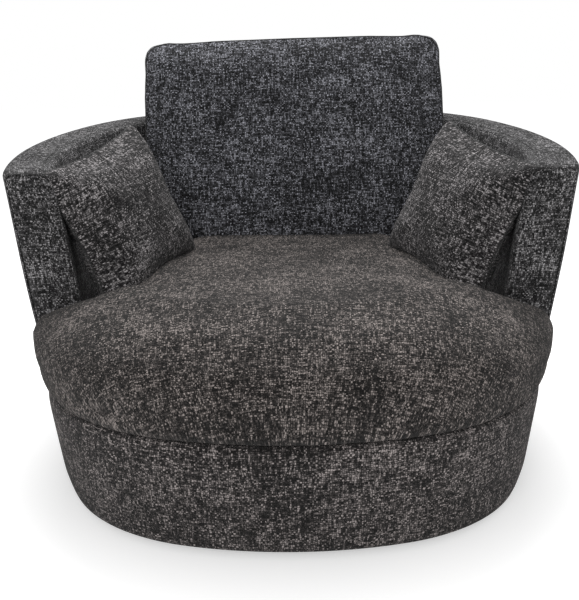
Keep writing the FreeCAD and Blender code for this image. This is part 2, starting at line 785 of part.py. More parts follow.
def tub_padding():
    """Foam over the frame, in blocks butted together so that they follow the bend."""
    low, skin = wall_foot(), size(PADDING_OUT)
    outer, inner = core_depths()
    drop = frame_drop() - size("Sizes.fit")
    inner_skin = size("Sizes.wall") - skin
    rounding = size("Sizes.rim_round") - skin
    outside = [foot(skin, low)] + rounded_top(skin, inner_skin, skin, rounding) + [foot(inner_skin, low)]
    inside = [foot(outer, low), top(outer, drop), top(inner, drop), foot(inner, low)]
    foam = wall_loft(outside + inside[::-1], arm_to_arm(arm_depth("padding")))
    places = [(place(0, low), place(0, low) - place(1, low)) for place in stations_beyond_arms()]
    joints = upright_boards(places, size("Sizes.fit"), size("Sizes.wall"), low - 1, above_rim())
    return feature("tub_padding", foam.cut(joints))


def tub_panel(label, outer, inner):
    """A thin panel on the tub frame."""
    low, drop = wall_foot(), frame_drop()
    section = [foot(outer, low), top(outer, drop), top(inner, drop), foot(inner, low)]
    return feature(label, wall_loft(section, arm_to_arm(arm_depth("board"))))


def tub_rails():
    """The C-shaped rails at the foot and the top of the tub frame."""
    outer, inner = frame_depths()
    stations = arm_to_arm(arm_depth("rails"))
    low, high, board, drop = size(TOP_RING_TOP), size(RAIL_TOP), size("Sizes.board"), frame_drop()
    rail = wall_loft([foot(outer, low), foot(outer, high), foot(inner, high), foot(inner, low)], stations)
    for place in bolt_places():
        rail = rail.cut(rod(size("Sizes.bolt_radius"), board + 2, V(place.x, place.y, low - 1)))
    feature("tub_bottom_rail", rail)
    section = [top(outer, drop), top(inner, drop), top(inner, drop + board), top(outer, drop + board)]
    return feature("tub_top_rail", wall_loft(section, stations))


def tub_ribs():
    """Uprights between the two rails, square to the plan."""
    outer, inner = frame_depths()
    low, drop = size(RAIL_TOP), frame_drop() + size("Sizes.board")
    section = [foot(outer, low), top(outer, drop), top(inner, drop), foot(inner, low)]
    zone = wall_loft(section, arm_to_arm(arm_depth("rails") + size("Sizes.board")))
    return ribs("tub_ribs", zone, rib_turns(), size("Sizes.wall"), low, above_rim())


def arm_layer(name, layer, thick, outer, inner, low, drop, rounding):
    """One flat layer in the front of each arm: cover, padding or board."""
    section = [foot(outer, low)] + rounded_top(outer, inner, drop, rounding) + [foot(inner, low)]
    if not rounding:
        section = [foot(outer, low), top(outer, drop), top(inner, drop), foot(inner, low)]
    start = arm_depth(layer)
    for side, word in ((-1, "left"), (1, "right")):
        slab = wall_loft(section, [front_station(side, start), front_station(side, start + thick)])
        feature(f"{name}_{word}", slab)


def arm_fronts():
    """The cloth, foam and board that close the two ends of the tub."""
    outer, inner = core_depths()
    fit = size("Sizes.fit")
    cloth = size("Sizes.cloth")
    arm_layer("arm_front_cover", "cover", cloth, 0, size("Sizes.wall"), wall_foot(), 0, size("Sizes.rim_round"))
    arm_layer("arm_front_padding", "padding", size("Sizes.arm_pad"), outer + fit, inner - fit, wall_foot(),
              frame_drop(), 0)
    outer, inner = frame_depths()
    arm_layer("arm_front_board", "board", size("Sizes.board"), outer, inner, size(TOP_RING_TOP), frame_drop(), 0)


# The cushions

# The seat cushion's sections: share of its height, and how far each is drawn in.
SEAT_SECTIONS = [(0, 12), (0.10, -4), (0.30, -12), (0.52, -7), (0.68, 16), (0.82, 74), (1, 195)]
EAR_DRAW = 0.25


def seat_form(skin):
    """The crowned T-shaped seat cushion, shrunk by skin."""
    low = size("Sizes.deck_height + Sizes.fit") + skin
    tall = size("Sizes.seat_thick") - 2 * skin
    gap = size("Sizes.seat_gap")
    sections = []
    for share, draw in SEAT_SECTIONS:
        y = -(size("Sizes.arm_front") + gap + EAR_DRAW * max(draw, 0) + skin)
        inner = size("Sizes.wall") + gap + max(draw, 0) + skin
        sections.append(tee(low + share * tall, draw + skin, inner, y))
    return loft(sections)


# The directions that the sides and corners of a boxed cushion face, in one quarter.
BOXED_TURNS = [0, 3, 20, 45, 70, 87]


def boxed_outline(half_width, half_height, corner, bow, z):
    """A rectangle of bowed sides and round corners, whose sides face the same way at any size."""
    turns = [math.radians(turn + 90 * quarter) for quarter in range(4) for turn in BOXED_TURNS]
    reaches = []
    for turn in turns:
        across, up = abs(math.cos(turn)), abs(math.sin(turn))
        square = min(across, up) < 0.001
        reaches.append(bow + across * half_width + up * half_height if square
                       else (half_width - corner) * across + (half_height - corner) * up + corner)
    places = []
    for here in range(len(turns)):
        a, b, reach, following = turns[here - 1], turns[here], reaches[here - 1], reaches[here]
        across = reach * math.sin(b) - following * math.sin(a)
        up = following * math.cos(a) - reach * math.cos(b)
        places.append(V(across / math.sin(b - a), up / math.sin(b - a), z))
    return places


def back_form(skin):
    """The boxed back cushion: a bulging border between two crowned faces."""
    border, crown = size("Sizes.back_border") / 2, size("Sizes.back_crown")
    half_width, half_height = size("Sizes.back_width") / 2 - skin, size("Sizes.back_height") / 2 - skin
    corner, bow = size("Sizes.back_corner"), size("Sizes.back_bow")
    rise = [(crown, 0.72), (0.62 * crown, 0.27), (0, 0.022)]
    sections = [(-border - up + skin, draw) for up, draw in rise]
    sections += [(-border / 2, -0.022), (border / 2, -0.022)]
    sections += [(border + up - skin, draw) for up, draw in reversed(rise)]
    outlines = []
    for z, draw in sections:
        drawn, left = draw * half_height, 1 - draw
        outlines.append(boxed_outline(half_width - drawn, half_height - drawn, corner * left + 0.1 * drawn,
                                      bow * left * left, z))
    return loft(outlines)


def back_placement():
    """Local X is across the chair, local Y up the cushion and local Z towards its front."""
    lean = math.radians(size("Sizes.back_lean"))
    up = V(0, math.sin(lean), math.cos(lean))
    back = V(0, math.cos(lean), -math.sin(lean))
    foot = V(0, size("Sizes.back_foot"), size("Sizes.back_foot_height"))
    depth = size("Sizes.back_border") / 2 + size("Sizes.back_crown")
    turn = FreeCAD.Rotation(V(1, 0, 0), up, V(0, 0, 0), "XYZ")
    return FreeCAD.Placement(foot + up * (size("Sizes.back_height") / 2) + back * depth, turn)


HOLLOW_MIDWAY = 0.6


def knife_outline(scale, z):
    """A square with small round corners and drawn-in sides, about the origin."""
    half, corner = size("Sizes.scatter_side") / 2, size("Sizes.scatter_corner")
    hollow = size("Sizes.scatter_hollow")
    turns = [math.radians(turn) for turn in (10, 45, 80)]
    quarter = [V(half - hollow, 0, 0), V(half - HOLLOW_MIDWAY * hollow, half / 2, 0)]
    quarter += [V(half - corner + corner * math.cos(turn), half - corner + corner * math.sin(turn), 0)
                for turn in turns]
    quarter.append(V(half / 2, half - HOLLOW_MIDWAY * hollow, 0))
    whole = [FreeCAD.Rotation(UP, 90 * index).multVec(place) for index in range(4) for place in quarter]
    return [V(place.x * scale, place.y * scale, z) for place in whole]


def scatter_form(skin):
    """A knife-edged cushion: two crowned faces that meet in a seam with drawn-in sides."""
    thick = size("Sizes.scatter_thick") / 2 - skin
    full = 1 - 3 * skin / size("Sizes.scatter_side")
    rise = [(1, 0.28), (0.8, 0.61), (0.38, 0.89)]
    sections = [(-thick * up, scale * full) for up, scale in rise] + [(0, full)]
    sections += [(thick * up, scale * full) for up, scale in reversed(rise)]
    return loft([knife_outline(scale, z) for z, scale in sections])


def scatter_placement():
    """The left cushion's place: it leans in the corner of the arm and the back cushion."""
    across, forward, up = size("Sizes.scatter_across"), size("Sizes.scatter_forward"), size("Sizes.scatter_up")
    roll = FreeCAD.Rotation(V(0, 0, 1), size("Sizes.scatter_roll"))
    stand = FreeCAD.Rotation(V(1, 0, 0), 90 - size("Sizes.scatter_lean"))
    turn = FreeCAD.Rotation(V(0, 0, 1), size("Sizes.scatter_turn"))
    return FreeCAD.Placement(V(-across, -forward, up), turn.multiply(stand).multiply(roll))


def placed(shape, placement):
    """A copy of a shape set up at a placement."""
    made = shape.copy()
    made.Placement = placement.multiply(made.Placement)
    return made


def seat_space(skin):
    """What the seat cushion takes from a cushion that rests on it."""
    return seat_form(-size("Sizes.fit") - skin)


def slope_space(skin):
    """What the seat's left slope takes from a scatter cushion: all that lies under its plane."""
    grow, reach = size("Sizes.fit") + skin, 2 * size("Sizes.floor_reach")
    low, tall = size("Sizes.deck_height + Sizes.fit") - grow, size("Sizes.seat_thick") + 2 * grow
    depth = size("Sizes.wall + Sizes.seat_gap") - grow
    outer, inner = [side_point(depth + draw, 0, low + share * tall) for share, draw in SEAT_SECTIONS[-2:]]
    corners = [outer + (outer - inner) * 4, inner + (inner - outer) * 4]
    corners = [V(-corner.x, -reach, corner.z) for corner in corners]
    corners += [V(corner.x, -reach, 0) for corner in reversed(corners)]
    return Part.Face(Part.makePolygon(corners + corners[:1])).extrude(V(0, 2 * reach, 0))


def wall_space(skin):
    """What the tub wall takes from a cushion that leans on it."""
    grow = size("Sizes.fit") + skin
    low, outer, inner = size("Sizes.deck_height"), -size("Sizes.wall"), size("Sizes.wall") + grow
    section = [foot(outer, low), top(outer, -grow), top(inner, -grow), foot(inner, low)]
    return wall_loft(section, arm_to_arm(-grow))


def back_space(skin):
    """What the back cushion takes from a scatter cushion."""
    return placed(back_form(-size("Sizes.fit") - skin), back_placement())


def cushion_shapes(form, strip, spaces, filling):
    """A cushion's cover, filling and zip; the zip closes a slit in the cover."""
    cloth, fit = size("Sizes.cloth"), size("Sizes.fit")
    outside, hollow, inside = [form(skin).cut([space(skin) for space in spaces]) if spaces else form(skin)
                               for skin in (0, cloth, cloth + fit)]
    cover = outside.cut(hollow)
    return {"cover": cover.cut(strip(fit)), filling: inside, "zip": cover.common(strip(0))}


def cushion(name, shapes, mirror=False):
    """The pieces of one cushion, mirrored to the other arm if asked."""
    for part, shape in shapes.items():
        feature(f"{name}_{part}", shape.mirror(V(0, 0, 0), V(1, 0, 0)) if mirror else shape)


def seat_zip_strip(grow):
    """A block across the back border of the seat cushion, low down."""
    length, width = size("Sizes.seat_zip") + 2 * grow, size("Sizes.zip_width") + 2 * grow
    middle = size("Sizes.deck_height + Sizes.seat_thick / 5")
    return Part.makeBox(length, 2 * size("Sizes.floor_reach"), width, V(-length / 2, 0, middle - width / 2))


def back_zip_strip(grow):
    """A block through the cushion's back panel, low down."""
    length, width = size("Sizes.back_zip") + 2 * grow, size("Sizes.zip_width") + 2 * grow
    low = -size("Sizes.back_height") / 4
    depth = size("Sizes.back_border")
    block = Part.makeBox(length, width, depth, V(-length / 2, low - width / 2, -depth))
    return placed(block, back_placement())


def scatter_zip_strip(grow):
    """A block round the seam of the side that rests on the seat."""
    length, width = size("Sizes.scatter_zip") + 2 * grow, size("Sizes.zip_width") + 2 * grow
    half = size("Sizes.scatter_side") / 2
    block = Part.makeBox(length, half, width, V(-length / 2, -half * 1.5, -width / 2))
    return placed(block, scatter_placement())


def nose_gap():
    """The glued joint between the seat core's nose and the block behind it, in front of the arms."""
    reach, fit = 2 * size("Sizes.floor_reach"), size("Sizes.fit")
    return Part.makeBox(2 * reach, fit, reach, V(-reach, -size("Sizes.arm_front + Sizes.seat_gap") - fit, 0))


def chamber_gap(skin):
    """The gap between the two chambers of the back filling, level with the rim that it leans on."""
    reach, fit = 2 * size("Sizes.floor_reach"), size("Sizes.fit")
    corners = [(-reach, -reach), (reach, -reach), (reach, reach), (-reach, reach)]
    return loft([[V(x, y, rim_height(y, drop)) for x, y in corners] for drop in (-skin, -skin - fit)])


def cushions():
    """The seat cushion, the back cushion that it carries, and the scatter cushions against both."""
    def back(skin):
        return placed(back_form(skin), back_placement())

    def scatter(skin):
        return placed(scatter_form(skin), scatter_placement())

    shapes = cushion_shapes(seat_form, seat_zip_strip, [], "core")
    shapes["core"] = shapes["core"].cut(nose_gap())
    cushion("seat_cushion", shapes)
    shapes = cushion_shapes(back, back_zip_strip, [seat_space, wall_space], "filling")
    shapes["filling"] = shapes["filling"].cut(chamber_gap(size("Sizes.cloth + Sizes.fit")))
    cushion("back_cushion", shapes)
    shapes = cushion_shapes(scatter, scatter_zip_strip, [slope_space, wall_space, back_space], "filling")
    cushion("scatter_left", shapes)
    cushion("scatter_right", shapes, mirror=True)


# Build, check and write

floor_board()
floor_glides()
centre_glide()
swivel_plate("swivel_lower_plate", LOWER_PLATE, LOWER_PLATE_TOP, True)
plate_screws("lower_plate_screws", LOWER_PLATE_TOP, 1)
roller_cage()
rollers()
swivel_plate("swivel_upper_plate", UPPER_PLATE, UPPER_PLATE, False)
plate_screws("upper_plate_screws", UPPER_PLATE, -1)
base_skirt_ring()
base_deck_board()
base_ribs()
base_top_ring()
frame_bolts()
base_outer_panel()
base_padding()
base_cover()
dust_cover()
seat_springs()
spring_clips()
seat_deck_pad()
arm_fronts()
tub_rails()
tub_ribs()
tub_panel("tub_outer_panel", size(PANEL_OUT), size(PANEL_IN))
inner_face = core_depths()[1] - size("Sizes.fit")
tub_panel("tub_inner_panel", inner_face - size("Sizes.panel"), inner_face)
tub_padding()
tub_cover()
cushions()
doc.recompute()

os.makedirs("parts", exist_ok=True)
made = [item for item in doc.Objects if item.TypeId in ("PartDesign::Body", "Part::Feature")]
for item in doc.Objects:
    if {"Invalid", "Error"} & set(item.State):
        raise RuntimeError(f"{item.Label} failed: {item.State}")
for item in made:
    if item.Shape.isNull() or not item.Shape.isValid() or not item.Shape.Solids:
        raise RuntimeError(f"{item.Label} has no valid solid")
for item in made:
    item.Shape.exportStep(f"parts/{item.Label}.step")
print(len(made), "sub-parts written")
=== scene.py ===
import json
import math

import bmesh
import bpy
import numpy as np
from mathutils import Matrix, Vector
from mathutils.bvhtree import BVHTree

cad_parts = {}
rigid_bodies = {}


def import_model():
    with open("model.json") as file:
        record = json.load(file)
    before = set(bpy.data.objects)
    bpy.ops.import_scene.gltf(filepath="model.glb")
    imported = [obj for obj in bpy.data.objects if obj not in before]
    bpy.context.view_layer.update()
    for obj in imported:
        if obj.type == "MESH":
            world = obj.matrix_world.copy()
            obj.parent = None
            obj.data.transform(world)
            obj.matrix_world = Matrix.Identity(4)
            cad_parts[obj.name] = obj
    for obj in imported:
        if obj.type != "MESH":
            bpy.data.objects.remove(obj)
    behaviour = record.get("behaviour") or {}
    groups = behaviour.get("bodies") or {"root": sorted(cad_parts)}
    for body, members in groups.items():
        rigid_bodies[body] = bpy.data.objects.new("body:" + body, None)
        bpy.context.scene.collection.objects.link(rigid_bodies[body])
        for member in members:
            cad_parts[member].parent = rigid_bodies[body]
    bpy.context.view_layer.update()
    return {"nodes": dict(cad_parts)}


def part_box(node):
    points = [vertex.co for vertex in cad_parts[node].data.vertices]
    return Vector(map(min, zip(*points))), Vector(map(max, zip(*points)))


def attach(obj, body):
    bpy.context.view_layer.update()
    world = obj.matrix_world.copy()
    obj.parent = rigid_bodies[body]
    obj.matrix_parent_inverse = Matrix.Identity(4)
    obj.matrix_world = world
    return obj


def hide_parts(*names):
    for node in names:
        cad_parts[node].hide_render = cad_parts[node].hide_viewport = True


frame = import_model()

# The chair's sizes in metres, as in the part's source

REACH, FLARE = 0.537, 0.132
SIDE_BOW, CORNER_ACROSS, CORNER_ALONG = 0.250, 0.120, 0.180
ARM_FRONT, ARM_HEIGHT, RIM_SLOPE = 0.205, 0.692, math.tan(math.radians(4.8))
WALL, DECK, SKIRT_GAP = 0.108, 0.245, 0.012
SEAT_THICK, SEAT_GAP = 0.209, 0.003
SEAT_DRAWS = [(0, 0.012), (0.10, -0.004), (0.30, -0.012), (0.52, -0.007), (0.68, 0.016), (0.82, 0.074),
              (1, 0.195)]
BACK_WIDTH, BACK_HEIGHT, BACK_BORDER, BACK_CROWN = 0.770, 0.530, 0.190, 0.025
BACK_LEAN, BACK_FOOT, BACK_FOOT_HEIGHT = math.radians(17), 0.200, 0.450
SCATTER_SIDE, SCATTER_THICK, SCATTER_HOLLOW, SCATTER_FULL = 0.338, 0.150, 0.014, 0.008
SCATTER_PLACE = Vector((-0.380, -0.042, 0.560))
SCATTER_TURN, SCATTER_LEAN, SCATTER_ROLL = math.radians(61), math.radians(18.6), math.radians(13.2)

corner_extra = SIDE_BOW - math.hypot(CORNER_ACROSS + SIDE_BOW, CORNER_ALONG)
back_extra = corner_extra + math.hypot(CORNER_ACROSS, CORNER_ALONG + SIDE_BOW)
SIDE_TURN = math.atan2(CORNER_ALONG, CORNER_ACROSS + SIDE_BOW)
BACK_TURN = math.atan2(CORNER_ALONG + SIDE_BOW, CORNER_ACROSS)


def plan(turn, depth, z):
    """Points of the rounded-square plan where its way out has this turn, drawn in by depth."""
    turn, depth, z = np.broadcast_arrays(np.asarray(turn, float), depth, z)
    across, along = np.cos(turn), np.sin(turn)
    folded = np.arctan2(np.abs(along), np.abs(across))
    side, back = folded <= SIDE_TURN, folded >= BACK_TURN
    x = np.where(side, -SIDE_BOW, np.where(back, 0, CORNER_ACROSS)) * np.sign(across)
    y = np.where(side, 0, np.where(back, -SIDE_BOW, CORNER_ALONG)) * np.sign(along)
    extra = np.where(side, SIDE_BOW, np.where(back, back_extra, corner_extra))
    reach = REACH + FLARE * z - depth + extra
    return x + reach * across, y + reach * along


def plan_turns(count, start=0.0, stop=2 * math.pi):
    """Turns at about equal steps along the plan between two turns."""
    fine = np.linspace(start, stop, 4001)
    x, y = plan(fine, 0, DECK)
    way = np.concatenate([[0], np.cumsum(np.hypot(np.diff(x), np.diff(y)))])
    return np.interp(np.linspace(0, way[-1], count), way, fine)


def rim_height(y):
    return ARM_HEIGHT + (y + ARM_FRONT) * RIM_SLOPE


def smooth(low, high, value):
    """0 below low, 1 above high and a soft step between."""
    share = np.clip((value - low) / (high - low), 0, 1)
    return share * share * (3 - 2 * share)


def ripple(x, y, z, scale, seed):
    """A soft, repeatable unevenness between about -1 and 1."""
    random = np.random.default_rng(seed)
    total = 0
    for _ in range(5):
        way = random.normal(size=3)
        way *= scale * random.uniform(0.6, 1.5) / np.linalg.norm(way)
        total = total + np.sin(x * way[0] + y * way[1] + z * way[2] + random.uniform(0, 6.28))
    return total / 3


# Meshes

def finish_mesh(name, vertices, faces, uvs=None):
    mesh = bpy.data.meshes.new(name)
    mesh.from_pydata([tuple(map(float, place)) for place in vertices], [], faces)
    if uvs is not None:
        layer = mesh.uv_layers.new(name="Weave")
        corners = np.empty(len(mesh.loops), dtype=int)
        mesh.loops.foreach_get("vertex_index", corners)
        layer.data.foreach_set("uv", np.asarray(uvs, float)[corners].ravel())
    mesh.polygons.foreach_set("use_smooth", [True] * len(mesh.polygons))
    mesh.update()
    piece = bpy.data.objects.new(name, mesh)
    bpy.context.scene.collection.objects.link(piece)
    return piece


def grid(name, places, uvs, around=False):
    """A sheet of quads through rows of points; around joins each row's end to its start."""
    rows, columns = places.shape[:2]
    faces = []
    for row in range(rows - 1):
        for column in range(columns - 1):
            a = row * columns + column
            faces.append((a, a + 1, a + columns + 1, a + columns))
    piece = finish_mesh(name, places.reshape(-1, 3), faces, uvs.reshape(-1, 2))
    if around:
        weld(piece)
    return piece


def weld(piece, distance=0.00002):
    made = bmesh.new()
    made.from_mesh(piece.data)
    bmesh.ops.remove_doubles(made, verts=made.verts, dist=distance)
    made.to_mesh(piece.data)
    made.free()
    return piece


def outwards(piece):
    made = bmesh.new()
    made.from_mesh(piece.data)
    bmesh.ops.recalc_face_normals(made, faces=made.faces)
    made.to_mesh(piece.data)
    made.free()
    return piece


def bake_modifiers(piece):
    """The evaluated mesh takes the place of the mesh and its modifiers."""
    graph = bpy.context.evaluated_depsgraph_get()
    mesh = bpy.data.meshes.new_from_object(piece.evaluated_get(graph), preserve_all_data_layers=True,
                                           depsgraph=graph)
    piece.modifiers.clear()
    old, piece.data = piece.data, mesh
    bpy.data.meshes.remove(old)
    return piece


def smooth_shaded(piece):
    piece.data.polygons.foreach_set("use_smooth", [True] * len(piece.data.polygons))
    return piece


def thicken(piece, thick):
    """Gives a sheet its thickness, inwards."""
    solid = piece.modifiers.new("Thickness", "SOLIDIFY")
    solid.thickness, solid.offset, solid.use_even_offset = thick, -1, True
    return smooth_shaded(bake_modifiers(piece))


def tube(name, path, radius, closed=True, sides=8, lift=None):
    """A thin round tube along a path of points, used for the near-black seam lines of painted shade; lift is
    the way up at each point.
    """
    path = np.asarray(path, float)
    count = len(path)
    if closed:
        ahead = np.roll(path, -1, 0) - np.roll(path, 1, 0)
    else:
        ahead = np.gradient(path, axis=0)
    ahead /= np.linalg.norm(ahead, axis=1)[:, None] + 1e-12
    up = np.tile([0.0, 0.0, 1.0], (count, 1)) if lift is None else np.asarray(lift, float)
    side = np.cross(ahead, up)
    side /= np.linalg.norm(side, axis=1)[:, None] + 1e-12
    up = np.cross(side, ahead)
    angle = np.linspace(0, 2 * math.pi, sides, endpoint=False)
    places = (path[:, None] + radius * np.cos(angle)[None, :, None] * side[:, None]
              + radius * np.sin(angle)[None, :, None] * up[:, None])
    way = np.concatenate([[0], np.cumsum(np.linalg.norm(np.diff(path, axis=0), axis=1))])
    uvs = np.stack(np.broadcast_arrays(way[:, None], (angle * radius)[None, :]), -1)
    faces = []
    rows = count if closed else count - 1
    for row in range(rows):
        following = (row + 1) % count
        for side_at in range(sides):
            beside = (side_at + 1) % sides
            faces.append((row * sides + side_at, row * sides + beside,
                          following * sides + beside, following * sides + side_at))
    if not closed:
        faces.append(tuple(reversed(range(sides))))
        faces.append(tuple((count - 1) * sides + side_at for side_at in range(sides)))
    return outwards(finish_mesh(name, places.reshape(-1, 3), faces, uvs.reshape(-1, 2)))


# Materials

class Value:
    """A shader socket with arithmetic."""

    def __init__(self, tree, socket):
        self.tree, self.socket = tree, socket

    def math(self, operation, *others, clamp=False):
        node = self.tree.nodes.new("ShaderNodeMath")
        node.operation, node.use_clamp = operation, clamp
        for index, item in enumerate((self, *others)):
            if isinstance(item, Value):
                self.tree.links.new(item.socket, node.inputs[index])
            else:
                node.inputs[index].default_value = item
        return Value(self.tree, node.outputs[0])

    def __add__(self, other):
        return self.math("ADD", other)

    def __sub__(self, other):
        return self.math("SUBTRACT", other)

    def __mul__(self, other):
        return self.math("MULTIPLY", other)

    def __rsub__(self, other):
        node = self.tree.nodes.new("ShaderNodeMath")
        node.operation = "SUBTRACT"
        node.inputs[0].default_value = other
        self.tree.links.new(self.socket, node.inputs[1])
        return Value(self.tree, node.outputs[0])

    __radd__, __rmul__ = __add__, __mul__

    def clamp(self):
        return self.math("ADD", 0.0, clamp=True)


class Finish:
    """A material, its principled shader and the coordinates of the piece."""

    def __init__(self, name, **constants):
        self.material = bpy.data.materials.new(name)
        self.material.use_nodes = True
        self.tree = self.material.node_tree
        self.shader = self.tree.nodes["Principled BSDF"]
        for key, value in constants.items():
            self.shader.inputs[key.replace("_", " ")].default_value = value

    def node(self, kind, settings=None, **sockets):
        """Any node, with its settings and its sockets' values or links; at0 is a socket's number."""
        made = self.tree.nodes.new("ShaderNode" + kind)
        for key, value in (settings or {}).items():
            setattr(made, key, value)
        for key, value in sockets.items():
            socket = made.inputs[int(key[2:]) if key.startswith("at") else key.replace("_", " ")]
            if isinstance(value, Value):
                self.tree.links.new(value.socket, socket)
            else:
                socket.default_value = value
        return made

    def out(self, node, name=0):
        return Value(self.tree, node.outputs[name])

    def objects(self):
        return self.out(self.node("TexCoord"), "Object")

    def weave(self):
        return self.out(self.node("UVMap", {"uv_map": "Weave"}), "UV")

    def parts(self, vector):
        split = self.node("SeparateXYZ", at0=vector)
        return [self.out(split, index) for index in range(3)]

    def joined(self, x, y, z=0.0):
        return self.out(self.node("CombineXYZ", at0=x, at1=y, at2=z))

    def noise(self, vector, scale, detail=2.0, roughness=0.5, distortion=0.0):
        return self.out(self.node("TexNoise", Vector=vector, Scale=scale, Detail=detail,
                                  Roughness=roughness, Distortion=distortion), "Fac")

    def chance(self, vector):
        """A random number for each whole cell."""
        return self.out(self.node("TexWhiteNoise", Vector=vector), "Value")

    def stretched(self, vector, x, y, z=1.0):
        return self.out(self.node("VectorMath", {"operation": "MULTIPLY"}, at0=vector, at1=(x, y, z)))

    def moved(self, vector, x, y, z=0.0):
        return self.out(self.node("VectorMath", {"operation": "ADD"}, at0=vector, at1=(x, y, z)))

    def ramp(self, value, stops):
        made = self.node("ValToRGB", Fac=value)
        elements = made.color_ramp.elements
        while len(elements) < len(stops):
            elements.new(0.5)
        for element, (place, colour) in zip(elements, stops):
            element.position, element.color = place, (*colour, 1)
        return self.out(made, "Color")

    def mix(self, share, first, second):
        made = self.node("Mix", {"data_type": "RGBA"})
        for socket, item in ((made.inputs[0], share), (made.inputs[6], first), (made.inputs[7], second)):
            if isinstance(item, Value):
                self.tree.links.new(item.socket, socket)
            else:
                socket.default_value = item
        return Value(self.tree, made.outputs[2])

    def bump(self, height, distance, strength=1.0):
        made = self.node("Bump", Height=height, Distance=distance, Strength=strength)
        self.tree.links.new(made.outputs["Normal"], self.shader.inputs["Normal"])

    def set(self, socket, value):
        self.tree.links.new(value.socket, self.shader.inputs[socket])
        return self


def grey(level, tint=(1, 1, 1)):
    """A colour of this level: a tint, or no tint, made darker or lighter."""
    return tuple(level * share for share in tint)


YARN = 0.0043
WANDER, WANDER_SCALE, STRAY_SCALE = 2.6, 34.0, 120.0
SLUB_LENGTH, SLUB_SCALE, FIBRE_SCALE, PATCH_SCALE = 0.20, 1.15, 900.0, 9.0
YARN_TONES = [(0.0, 0.008), (0.22, 0.020), (0.40, 0.055), (0.58, 0.140), (0.76, 0.34), (1.0, 0.62)]


def tweed(name, tint, level, shift):
    """Loose plain weave of thick and thin mottled yarns, dark with pale flecks."""
    made = Finish(name, Roughness=0.96, Sheen_Weight=0.08, Sheen_Roughness=0.55)
    made.shader.inputs["Specular IOR Level"].default_value = 0.18
    weave = made.weave()
    wander = made.noise(weave, WANDER_SCALE)
    other_wander = made.noise(made.moved(weave, 7.3, 5.9), WANDER_SCALE)
    stray = made.noise(made.moved(weave, 3.1, 1.7), STRAY_SCALE, 1.0)
    x, y, _ = made.parts(weave)
    across = x * (1 / YARN) + (wander - 0.5) * WANDER + (stray - 0.5) * 0.75 + shift
    along = y * (1 / YARN) + (other_wander - 0.5) * WANDER + (stray - 0.5) * 0.6 + shift
    column, row = across.math("FLOOR"), along.math("FLOOR")
    u, v = across - column - 0.5, along - row - 0.5
    checker = (column + row).math("MODULO", 2.0).math("ABSOLUTE")
    warp = checker.math("GREATER_THAN", 0.5)
    thick_u, thick_v = (u * math.pi).math("COSINE"), (v * math.pi).math("COSINE")
    over_warp = thick_u.math("POWER", 0.85) * thick_v.math("POWER", 0.35)
    over_weft = thick_v.math("POWER", 0.85) * thick_u.math("POWER", 0.35)
    height = over_warp * warp + over_weft * (1.0 - warp)
    cell = made.chance(made.joined(column, row, 2.0))
    warp_slub = made.noise(made.joined(across, along * SLUB_LENGTH, 3.0), SLUB_SCALE, 2.0, 0.6)
    weft_slub = made.noise(made.joined(across * SLUB_LENGTH, along, 9.0), SLUB_SCALE, 2.0, 0.6)
    slub = warp_slub * warp + weft_slub * (1.0 - warp)
    fibre = made.noise(weave, FIBRE_SCALE, 2.0, 0.65)
    patch = made.noise(made.objects(), PATCH_SCALE)
    tone = (slub - 0.5) * 3.0 + (cell - 0.5) * 0.5 + (fibre - 0.5) * 0.9 + (patch - 0.5) * 0.6 + 0.5
    # Painted shade: each yarn's colour is darker where it dips under the crossing yarns and a little lighter
    # on its crown.
    tone = tone * (height * 0.55 + 0.52)
    stops = [(place, grey(share * level, tint)) for place, share in YARN_TONES]
    made.set("Base Color", made.ramp(tone.clamp(), stops))
    made.bump(height * 0.75 + fibre * 0.35 + slub * 0.4, 0.0018, 0.85)
    return made.material


def plywood():
    made = Finish("Birch plywood", Roughness=0.6)
    x, y, z = made.parts(made.objects())
    grain = made.noise(made.joined(x * 6.0, y * 60.0, z * 60.0), 4.0, 5.0, 0.6, 0.6)
    plies = (z * 700.0).math("SINE")
    tone = made.ramp(grain, [(0.25, (0.42, 0.27, 0.14)), (0.5, (0.55, 0.38, 0.21)),
                             (0.8, (0.66, 0.49, 0.30))])
    made.set("Base Color", made.mix((plies * 0.5 + 0.5) * 0.22, tone, (0.33, 0.20, 0.10, 1)))
    made.set("Roughness", grain * 0.25 + 0.5)
    made.bump(grain, 0.0006, 0.5)
    return made.material


def timber():
    made = Finish("Pine timber", Roughness=0.65)
    x, y, z = made.parts(made.objects())
    rings = made.noise(made.joined(x * 45.0, y * 45.0, z * 4.0), 1.6, 4.0, 0.55, 1.2)
    made.set("Base Color", made.ramp(rings, [(0.3, (0.45, 0.27, 0.12)), (0.5, (0.64, 0.43, 0.22)),
                                             (0.75, (0.74, 0.55, 0.32))]))
    made.set("Roughness", rings * 0.25 + 0.5)
    made.bump(rings, 0.0008, 0.5)
    return made.material


def board(name, colour, speck):
    """Pressed fibre board, felt or cloth: fine specks over a tone."""
    made = Finish(name, Roughness=0.85)
    where = made.objects()
    fine, broad = made.noise(where, speck, 3.0, 0.7), made.noise(where, 11.0, 2.0)
    stops = [(0.3, grey(0.62, colour)), (0.52, colour), (0.75, grey(1.25, colour))]
    made.set("Base Color", made.ramp(fine * 0.75 + broad * 0.25, stops))
    made.set("Roughness", fine * 0.2 + 0.75)
    made.bump(fine, 0.0008, 0.6)
    return made.material


def steel(name, level, rough):
    made = Finish(name, Metallic=1.0, Roughness=rough)
    where = made.objects()
    brushed = made.noise(made.stretched(where, 30, 260, 260), 3.0, 3.0, 0.6)
    spots = made.noise(where, 60.0, 3.0)
    stops = [(place, grey(share * level)) for place, share in ((0.3, 0.7), (0.6, 1.0), (0.9, 1.1))]
    made.set("Base Color", made.ramp(spots, stops))
    made.set("Roughness", brushed * 0.25 + (rough - 0.1))
    made.bump(brushed, 0.0002, 0.4)
    return made.material


